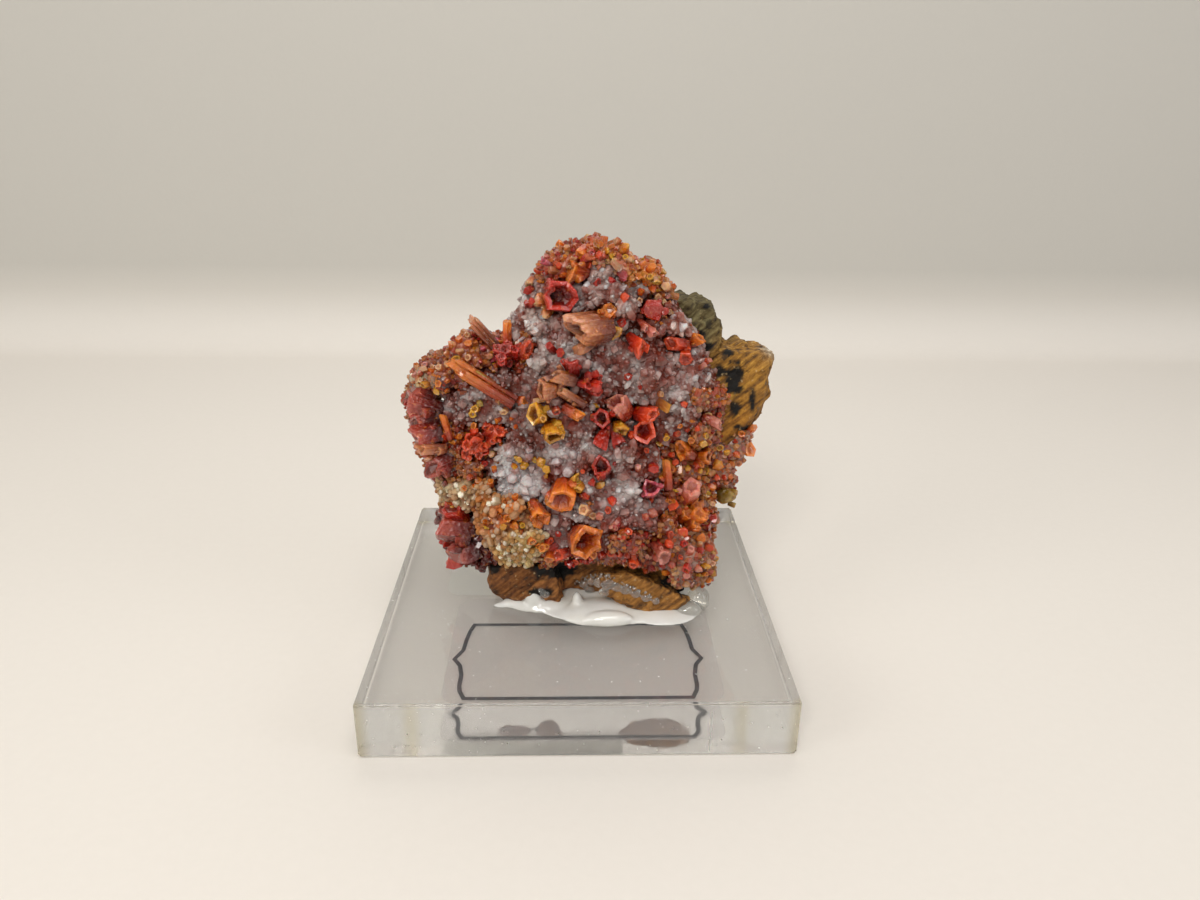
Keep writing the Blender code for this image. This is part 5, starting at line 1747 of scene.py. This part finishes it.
DOTS: dict[Tint, tuple[tuple[float, float, float], ...]] = {
    T.RED: (
        (530, 306, 11), (532, 289, 9), (553, 350, 9), (560, 352, 11), (597, 284, 10), (613, 282, 9),
        (622, 322, 11), (558, 256, 7), (604, 349, 4), (577, 242, 5), (569, 248, 6), (630, 376, 8),
        (641, 386, 5), (583, 495, 9), (592, 483, 10), (652, 465, 11), (645, 535, 9), (600, 543, 10),
        (570, 560, 9), (560, 552, 10), (583, 560, 9), (485, 452, 12), (482, 462, 9), (700, 551, 10),
        (689, 566, 10), (705, 527, 11), (712, 516, 10), (405, 390, 9), (413, 402, 15), (434, 417, 13),
        (424, 409, 10), (507, 364, 9), (497, 352, 9), (660, 540, 9), (651, 567, 8),
    ),
    T.SCARLET: (
        (625, 298, 10), (600, 257, 11), (577, 258, 9), (585, 268, 12), (638, 344, 10), (673, 506, 12),
        (617, 554, 13), (631, 558, 11), (680, 533, 13), (668, 545, 12), (703, 364, 9), (684, 404, 9),
        (676, 434, 7), (687, 430, 6), (627, 530, 9), (697, 466, 9), (724, 478, 7), (706, 545, 10),
        (612, 500, 11), (608, 510, 8), (676, 463, 7), (539, 273, 9), (497, 428, 9), (486, 424, 8),
        (500, 434, 8), (462, 442, 9), (470, 452, 10), (480, 440, 9), (441, 503, 10), (450, 505, 8),
        (469, 512, 8), (545, 540, 9), (556, 545, 8), (576, 560, 8), (590, 555, 9), (731, 481, 5),
        (716, 476, 6), (684, 352, 9),
    ),
    T.MAGENTA: ((549, 264, 11), (622, 274, 12), (615, 525, 12), (502, 340, 8), (495, 358, 7), (484, 350, 6)),
    T.ORANGE: (
        (585, 250, 11), (563, 275, 9), (641, 267, 10), (648, 271, 8), (657, 268, 8), (652, 287, 9),
        (640, 291, 9), (503, 342, 7), (525, 352, 11), (450, 363, 7), (460, 340, 8), (468, 344, 9),
        (475, 350, 8), (452, 348, 8), (432, 372, 7), (439, 383, 8), (447, 380, 7), (541, 282, 7),
        (548, 284, 8), (480, 480, 9), (490, 484, 9), (475, 486, 7), (465, 487, 6), (455, 492, 6),
        (500, 514, 9), (507, 519, 9), (514, 524, 9), (495, 524, 8), (487, 522, 7), (510, 503, 9),
        (516, 500, 7), (541, 547, 14), (549, 553, 11), (531, 540, 10), (714, 404, 8), (727, 425, 9),
        (723, 402, 7), (744, 450, 15), (741, 436, 9), (749, 432, 8), (735, 453, 9), (716, 488, 9),
        (709, 486, 8), (700, 540, 10), (718, 583, 8), (711, 587, 8), (690, 325, 5), (655, 322, 7),
        (664, 318, 8), (693, 500, 9), (681, 500, 9), (512, 418, 6), (516, 426, 6), (453, 434, 8),
        (458, 437, 7), (703, 574, 6), (708, 581, 7), (673, 470, 9), (670, 498, 9), (494, 470, 6),
        (477, 470, 6),
    ),
    T.PEACH: (
        (615, 244, 13), (585, 243, 9), (607, 244, 7), (668, 288, 10), (628, 262, 9), (617, 262, 8),
        (571, 262, 8), (545, 296, 8), (549, 305, 8), (663, 303, 7), (669, 311, 8), (648, 297, 8),
        (656, 296, 8), (640, 300, 7), (425, 370, 8), (433, 368, 8), (419, 378, 7), (455, 345, 8),
        (460, 352, 9), (470, 357, 8), (447, 366, 8), (455, 463, 9), (705, 495, 9), (709, 501, 8),
        (692, 532, 10), (699, 545, 8), (540, 400, 7), (587, 510, 12), (594, 516, 8), (590, 503, 8),
        (706, 412, 8), (699, 408, 8), (712, 565, 7), (704, 585, 7), (695, 585, 8), (686, 584, 9),
        (497, 401, 8), (505, 410, 8), (495, 454, 9), (498, 461, 6), (486, 446, 9), (660, 394, 6),
    ),
    T.AMBER: (
        (607, 251, 8), (613, 254, 8), (622, 252, 10), (625, 257, 7), (655, 278, 9), (661, 275, 8),
        (648, 277, 7), (666, 274, 7), (671, 277, 6), (597, 246, 6), (518, 458, 10), (514, 466, 8),
        (523, 466, 9), (540, 461, 12), (547, 470, 10), (534, 458, 6), (545, 478, 6), (582, 486, 11),
        (597, 486, 8), (661, 403, 11), (707, 388, 9), (717, 466, 13), (727, 452, 8), (718, 448, 8),
        (708, 470, 8), (695, 486, 9), (684, 487, 9), (707, 493, 8), (478, 408, 9), (473, 414, 9),
        (436, 388, 7), (430, 384, 8), (420, 446, 8), (704, 565, 9), (712, 572, 8), (699, 575, 7),
        (595, 404, 5), (488, 512, 8), (464, 514, 8), (455, 508, 8), (624, 432, 8), (606, 320, 8),
        (596, 327, 6), (668, 466, 8), (676, 448, 6), (700, 470, 7),
    ),
    T.OLIVE: ((721, 498, 12), (726, 490, 10), (445, 447, 10), (450, 454, 9), (716, 506, 9), (480, 402, 7)),
    T.TAN: (
        (410, 369, 12), (404, 413, 9), (410, 417, 9), (416, 424, 10), (421, 433, 10), (484, 357, 10),
        (478, 352, 9), (488, 364, 8), (440, 470, 9), (446, 464, 10), (436, 462, 10), (566, 392, 10),
        (600, 327, 9), (604, 338, 8), (714, 516, 10), (450, 478, 10), (442, 478, 9), (460, 472, 8),
        (587, 346, 8), (712, 422, 7),
    ),
    T.PINK: (
        (426, 366, 8), (421, 373, 7), (612, 528, 10), (618, 520, 8), (651, 514, 11), (645, 518, 9),
        (659, 486, 8), (641, 488, 8), (600, 515, 9), (567, 553, 7), (575, 553, 7), (656, 553, 9),
        (689, 552, 9), (696, 567, 8), (700, 368, 8), (706, 362, 6), (430, 374, 7), (548, 258, 6),
        (690, 488, 9), (668, 482, 9), (514, 350, 8), (509, 346, 7), (685, 575, 8),
    ),
    T.WINE: (
        (445, 512, 12), (452, 540, 13), (460, 552, 12), (470, 540, 11), (444, 530, 11), (430, 470, 9),
        (455, 525, 11), (478, 556, 9), (416, 400, 11), (425, 420, 10), (420, 441, 9), (428, 452, 10),
        (437, 480, 11), (445, 484, 8), (553, 418, 9), (555, 408, 9), (468, 562, 8),
    ),
}

ZONES = (
    Zone(((497, 448), (545, 452), (548, 500), (505, 505), (490, 480)), 9, 8, 16, (T.FROST,)),
    Zone(((552, 452), (580, 455), (578, 475), (555, 474)), 9, 8, 14, (T.FROST,)),
    Zone(((572, 270), (600, 258), (625, 268), (628, 290), (590, 292)), 9, 6, 12, (T.FROST,)),
    Zone(((606, 480), (640, 482), (640, 505), (612, 505)), 9, 7, 13, (T.FROST,)),
    Zone(((518, 292), (532, 300), (545, 322), (560, 340), (530, 345), (512, 335)), 9, 6, 12, (T.FROST,)),
    Zone(((668, 300), (690, 330), (705, 360), (715, 395), (700, 395), (685, 350), (668, 320)), 9, 6, 11,
         (T.FROST,)),
    Zone(((436, 482), (470, 482), (505, 494), (506, 510), (486, 512), (440, 500)), 6.5, 6, 12, (T.CREAM,)),
    Zone(((488, 530), (520, 534), (543, 542), (544, 560), (508, 562), (492, 550)), 6.5, 6, 13, (T.CREAM,)),
    Zone(((406, 372), (440, 376), (440, 392), (418, 396), (405, 388)), 7, 4, 9, (T.CREAM, T.CREAM, T.PEACH)),
    Zone(((545, 262), (567, 243), (586, 239), (605, 242), (606, 262), (580, 262), (562, 280), (545, 285),
         (532, 296), (524, 290), (535, 274)), 6.0, 5, 11, (T.ORANGE, T.SCARLET, T.PEACH, T.RED, T.PINK,
         T.ORANGE)),
    Zone(((605, 242), (629, 254), (659, 267), (674, 280), (672, 296), (655, 292), (640, 292), (628, 268),
         (606, 262)), 5.5, 5, 10, (T.AMBER, T.PEACH, T.ORANGE, T.AMBER, T.PEACH)),
    Zone(((606, 262), (628, 268), (640, 292), (636, 300), (590, 296), (570, 285), (580, 262)), 13, 5, 9,
         (T.SCARLET, T.PINK, T.RED)),
    Zone(((640, 293), (668, 296), (674, 320), (660, 326), (664, 312), (655, 297), (643, 300)), 5.5, 4, 7,
         (T.PEACH, T.PINK, T.ORANGE)),
    Zone(((448, 352), (471, 332), (498, 341), (503, 366), (475, 364), (452, 358)), 6, 4, 9, (T.ORANGE,
         T.PEACH, T.AMBER, T.RED, T.PEACH)),
    Zone(((412, 368), (440, 360), (452, 366), (448, 392), (425, 394), (408, 384)), 6, 3.5, 7.5, (T.PINK,
         T.PEACH, T.ORANGE, T.TAN)),
    Zone(((403, 390), (430, 394), (446, 410), (436, 426), (412, 424), (403, 408)), 9, 7, 13, (T.WINE, T.RED,
         T.WINE)),
    Zone(((440, 428), (458, 432), (500, 418), (506, 440), (488, 466), (456, 462), (440, 450)), 8, 5, 10,
         (T.SCARLET, T.RED, T.ORANGE)),
    Zone(((436, 474), (492, 470), (494, 492), (470, 498), (440, 492)), 7, 4, 9, (T.ORANGE, T.AMBER, T.TAN,
         T.RED)),
    Zone(((486, 512), (500, 508), (524, 522), (522, 534), (500, 530), (484, 528)), 6, 5, 9, (T.ORANGE,
         T.AMBER)),
    Zone(((660, 436), (690, 420), (715, 395), (733, 405), (728, 440), (716, 458), (700, 480), (712, 512),
         (700, 535), (685, 520), (676, 500), (660, 480)), 8, 5, 11, (T.ORANGE, T.AMBER, T.SCARLET, T.ORANGE,
         T.RED, T.AMBER)),
    Zone(((728, 425), (751, 432), (750, 452), (737, 466), (732, 488), (717, 507), (706, 490), (716, 458)),
         8.5, 5, 11, (T.ORANGE, T.AMBER, T.PEACH, T.SCARLET, T.TAN)),
    Zone(((685, 520), (716, 508), (716, 530), (712, 545), (720, 570), (713, 587), (690, 590), (684, 575),
         (700, 556)), 7, 5, 10, (T.ORANGE, T.AMBER, T.PEACH, T.SCARLET)),
    Zone(((545, 532), (600, 538), (650, 534), (680, 528), (700, 556), (684, 575), (655, 572), (610, 558),
         (580, 563), (550, 561)), 9.5, 5, 11, (T.SCARLET, T.RED, T.PINK, T.ORANGE, T.RED)),
    Zone(((575, 465), (615, 462), (625, 500), (615, 535), (590, 525), (576, 500)), 15, 5, 10, (T.RED,
         T.SCARLET)),
    Zone(((636, 450), (662, 450), (668, 500), (664, 535), (640, 530), (630, 490)), 16, 5, 9, (T.RED,
         T.SCARLET, T.PINK)),
    Zone(((676, 330), (694, 332), (712, 372), (720, 398), (700, 396), (690, 370), (676, 350)), 13, 4, 8,
         (T.ORANGE, T.PINK, T.SCARLET)),
    Zone(((437, 508), (476, 506), (484, 540), (478, 564), (458, 562), (440, 535)), 12, 8, 14, (T.WINE, T.RED,
         T.RED)),
)


def make_crusts(grounds: dict[str, bpy.types.Mesh], obstacle: bpy.types.Object,
                quartz: bpy.types.Material, ember: bpy.types.Material, cream: bpy.types.Material) -> None:
    """Scatters grains over the grounds and settles each crust with its ground.

    Args:
        grounds: the ground of each crust node.
        obstacle: object that the grains keep clear of.
        quartz: material of the druse.
        ember: material of the crystal crusts.
        cream: material of the pale ledge.
    """
    point = seed_crystal("quartz_point", Form.TOOTH, 5, 0.24)
    block = seed_crystal("small_prism", Form.BLOCK, 5)
    lump = seed_crystal("cream_lump", Form.BUD, 7)
    frost = scatter_tree("frost", [
        (0.0, linear("8A3420")), (0.25, linear("C48C80")), (0.55, linear("EACAC2")), (1.0, linear("FFF8F4")),
    ])
    warm = scatter_tree("warm", [
        (0.0, linear("B42408")), (0.3, linear("F05A10")), (0.6, linear("FF9824")), (1.0, linear("FFC078")),
    ])
    chalk = scatter_tree("chalk", [
        (0.0, linear("A85A14")), (0.35, linear("D08A3C")), (0.6, linear("D8CAA6")), (1.0, linear("F0E8D4")),
    ])
    deep = scatter_tree("deep", [(0.0, linear("4A0604")), (0.6, linear("8E1E10")), (1.0, linear("B84A30"))])
    for node, slot, grains in (
        ("quartz_druse", "mauve_quartz", Grains(frost, point, quartz, 0.5, 0.25, 0.6, 0.9, 3, 0.5)),
        ("crown_crust", "orange_vanadinite", Grains(warm, block, ember, 0.5, 0.4, 0.85, 0.8, 5, 0.7)),
        ("left_wing_crust", "orange_vanadinite", Grains(warm, block, ember, 0.5, 0.3, 0.75, 0.8, 7, 0.7)),
        ("right_flank_crust", "orange_vanadinite", Grains(warm, block, ember, 0.5, 0.3, 0.75, 0.8, 9, 0.7)),
        ("cream_ledge", "cream_coating", Grains(chalk, lump, cream, 0.5, 0.4, 0.9, 0.8, 11, 0.5)),
        ("lower_left_crust", "wine_vanadinite", Grains(deep, block, ember, 0.6, 0.4, 1.1, 0.7, 13, 0.7)),
    ):
        grown = [grains.scatter(grounds[node], obstacle)]
        if node == "quartz_druse":
            coarse = Grains(frost, point, quartz, 1.3, 0.6, 1.3, 1.0, 4, 0.5)
            grown.append(coarse.scatter(grounds[node], obstacle))
        settle(put(f"{node}_crystals", joined(node, grounds[node], *grown)), slot, node)


@dataclass(frozen=True)
class Lamp:
    """A square area light: its place, what it points at and its side in millimetres, and its power in watts."""

    name: str
    place: tuple[float, float, float]
    target: tuple[float, float, float]
    size: float
    power: float
    colour: str

    def build(self) -> None:
        """Adds the light, unseen by the camera."""
        data = bpy.data.lights.new(self.name, "AREA")
        data.size = self.size * MM
        data.energy = self.power
        data.color = linear(self.colour)
        made = bpy.data.objects.new(self.name, data)
        made.visible_camera = False
        bpy.context.scene.collection.objects.link(made)
        made.location = Vector(self.place) * MM
        made.rotation_euler = (Vector(self.target) - Vector(self.place)).to_track_quat("-Z", "Y").to_euler()


@dataclass
class Studio:
    """Plain pale floor and wall, the wall greyer as painted shade, soft light and the camera."""

    wall: float = 132.0
    reach: float = 700.0
    bend: float = 14.0
    bend_steps: int = 8
    room_glow: float = 0.33
    bounces: int = 24
    clear_bounces: int = 20
    lamps: tuple[Lamp, ...] = (
        Lamp("soft_top", (30, -150, 390), (0, 0, 20), 200, 0.5, "FFFDFA"),
        Lamp("lamp", (-90, -290, 250), (0, 0, 25), 100, 0.5, "FFFCF6"),
        Lamp("left_window", (-330, -210, 200), (0, 0, 20), 180, 0.3, "FFFCF8"),
        Lamp("right_fill", (320, -140, 170), (0, 0, 25), 160, 0.18, "F8F9FF"),
        Lamp("back_window", (0, 126, 172), (0, 0, 20), 160, 0.12, "FFFFFF"),
    )

    def build(self) -> None:
        """Makes the floor that bends up into the wall, the lights, the world and the camera."""
        builder = bmesh.new()
        profile = [(-self.reach, 0.0), (self.wall - self.bend, 0.0)]
        for step in range(1, self.bend_steps + 1):
            angle = math.radians(90 * step / self.bend_steps)
            profile.append((
                self.wall - self.bend + self.bend * math.sin(angle), self.bend - self.bend * math.cos(angle)
            ))
        profile.append((self.wall, self.reach))
        ends = (-self.reach, self.reach)
        rows = [[builder.verts.new((x * MM, y * MM, z * MM)) for y, z in profile] for x in ends]
        for i in range(len(profile) - 1):
            builder.faces.new((rows[0][i], rows[1][i], rows[1][i + 1], rows[0][i + 1]))
        mesh = mesh_of("table_top", builder)
        mesh.shade_smooth()
        bench = ShaderBench("pale_table")
        split = bench.add("ShaderNodeSeparateXYZ", {0: bench.place})
        # Painted shade: the pale floor turns greyer as it bends up into the wall.
        wall_shade_rise = bench.level(split.outputs["Z"], 0.0, 0.02)
        tone = bench.ramp(wall_shade_rise, (0.0, linear("EAE4DC")), (1.0, linear("C4C1BA")))
        grain = bench.noise(900.0, 3.0)
        flecks = bench.level(grain, 0.3, 0.7, 0.0, 0.06)
        bench.set(Base_Color=bench.mix(flecks, tone, linear("D4CEC4")), Roughness=0.75)
        bench.bump(grain, 0.00002)
        put("table_top", mesh, bench.material)
        for lamp in self.lamps:
            lamp.build()
        world = bpy.data.worlds.new("soft_room")
        world.use_nodes = True
        background = world.node_tree.nodes["Background"]
        background.inputs["Color"].default_value = (*linear("F8F6F2"), 1)
        background.inputs["Strength"].default_value = self.room_glow
        scene = bpy.context.scene
        scene.world = world
        scene.view_settings.view_transform = "Standard"
        scene.cycles.max_bounces = self.bounces
        scene.cycles.transmission_bounces = self.clear_bounces
        scene.cycles.glossy_bounces = self.clear_bounces
        scene.cycles.sample_clamp_indirect = 40.0
        VIEW.make_camera()


FLANK_PATCHES = (
    Patch("amber brown", 700, 480, 30, "A85A1C"),
    Patch("pale rim", 728, 452, 16, "B09488"),
    Patch("low pale", 690, 570, 14, "BC9484"),
    Patch("low red", 600, 552, 30, "8C3018"),
    Patch("corner amber", 712, 575, 10, "C08040"),
)
WING_PATCHES = (
    Patch("orange", 465, 350, 20, "B0542A"),
    Patch("cream tuft", 415, 386, 8, "D8C8A4"),
    Patch("maroon", 425, 415, 16, "4A1810"),
    Patch("mauve", 455, 400, 12, "70585C"),
    Patch("low", 460, 470, 16, "8A4420"),
)
CROWN_PATCHES = (
    Patch("top", 590, 248, 20, "EC7A30"),
    Patch("left", 548, 280, 16, "DC6E4C"),
    Patch("right", 655, 280, 20, "F89C3C"),
    Patch("pale middle", 602, 276, 14, "DCC0BC"),
)
LEDGE_PATCHES = (
    Patch("cream", 515, 548, 16, "C8AA70"),
    Patch("cream left", 455, 492, 14, "CDB890"),
    Patch("brown", 485, 500, 12, "A05A20"),
    Patch("amber", 500, 518, 12, "C8641A"),
    Patch("stain", 528, 548, 8, "B08A3A"),
)
WINE_PATCHES = (
    Patch("wine", 450, 540, 20, "5A120C"),
    Patch("mauve facet", 445, 520, 9, "8A6468"),
    Patch("mauve low", 475, 530, 10, "70565C"),
)


def main() -> None:
    """Builds every piece in order."""
    logging.basicConfig(level=logging.INFO, format="%(name)s: %(message)s")
    AcrylicBlock().build()
    UndersideFilms().build()
    GluePuddle().build()
    rock = RockMatrix().build()
    ClearGlue().build(rock.data)
    quartz = Quartz("mauve_quartz").make()
    ember = Vanadinite("ember_crust").make()
    cream = CreamCoating().make()
    grounds = {
        node: Ground(node, finish, patches, smooth=finish is quartz).build()
        for node, finish, patches in (
            ("quartz_druse", quartz, DRUSE_PATCHES),
            ("crown_crust", ember, CROWN_PATCHES),
            ("left_wing_crust", ember, WING_PATCHES),
            ("right_flank_crust", ember, FLANK_PATCHES),
            ("cream_ledge", cream, LEDGE_PATCHES),
            ("lower_left_crust", ember, WINE_PATCHES),
        )
    }
    standing = StandingCrystals().build()
    large = [piece.data for piece in standing]
    small = SmallCrystals(sight_tree(list(grounds.values())), sight_tree(large)).build()
    crystals = [mesh.copy() for mesh in large + [piece.data for piece in small]]
    obstacle = bpy.data.objects.new("obstacle", joined("obstacle", *crystals))
    make_crusts(grounds, obstacle, quartz, ember, cream)
    Studio().build()


if __name__ == "__main__":
    main()
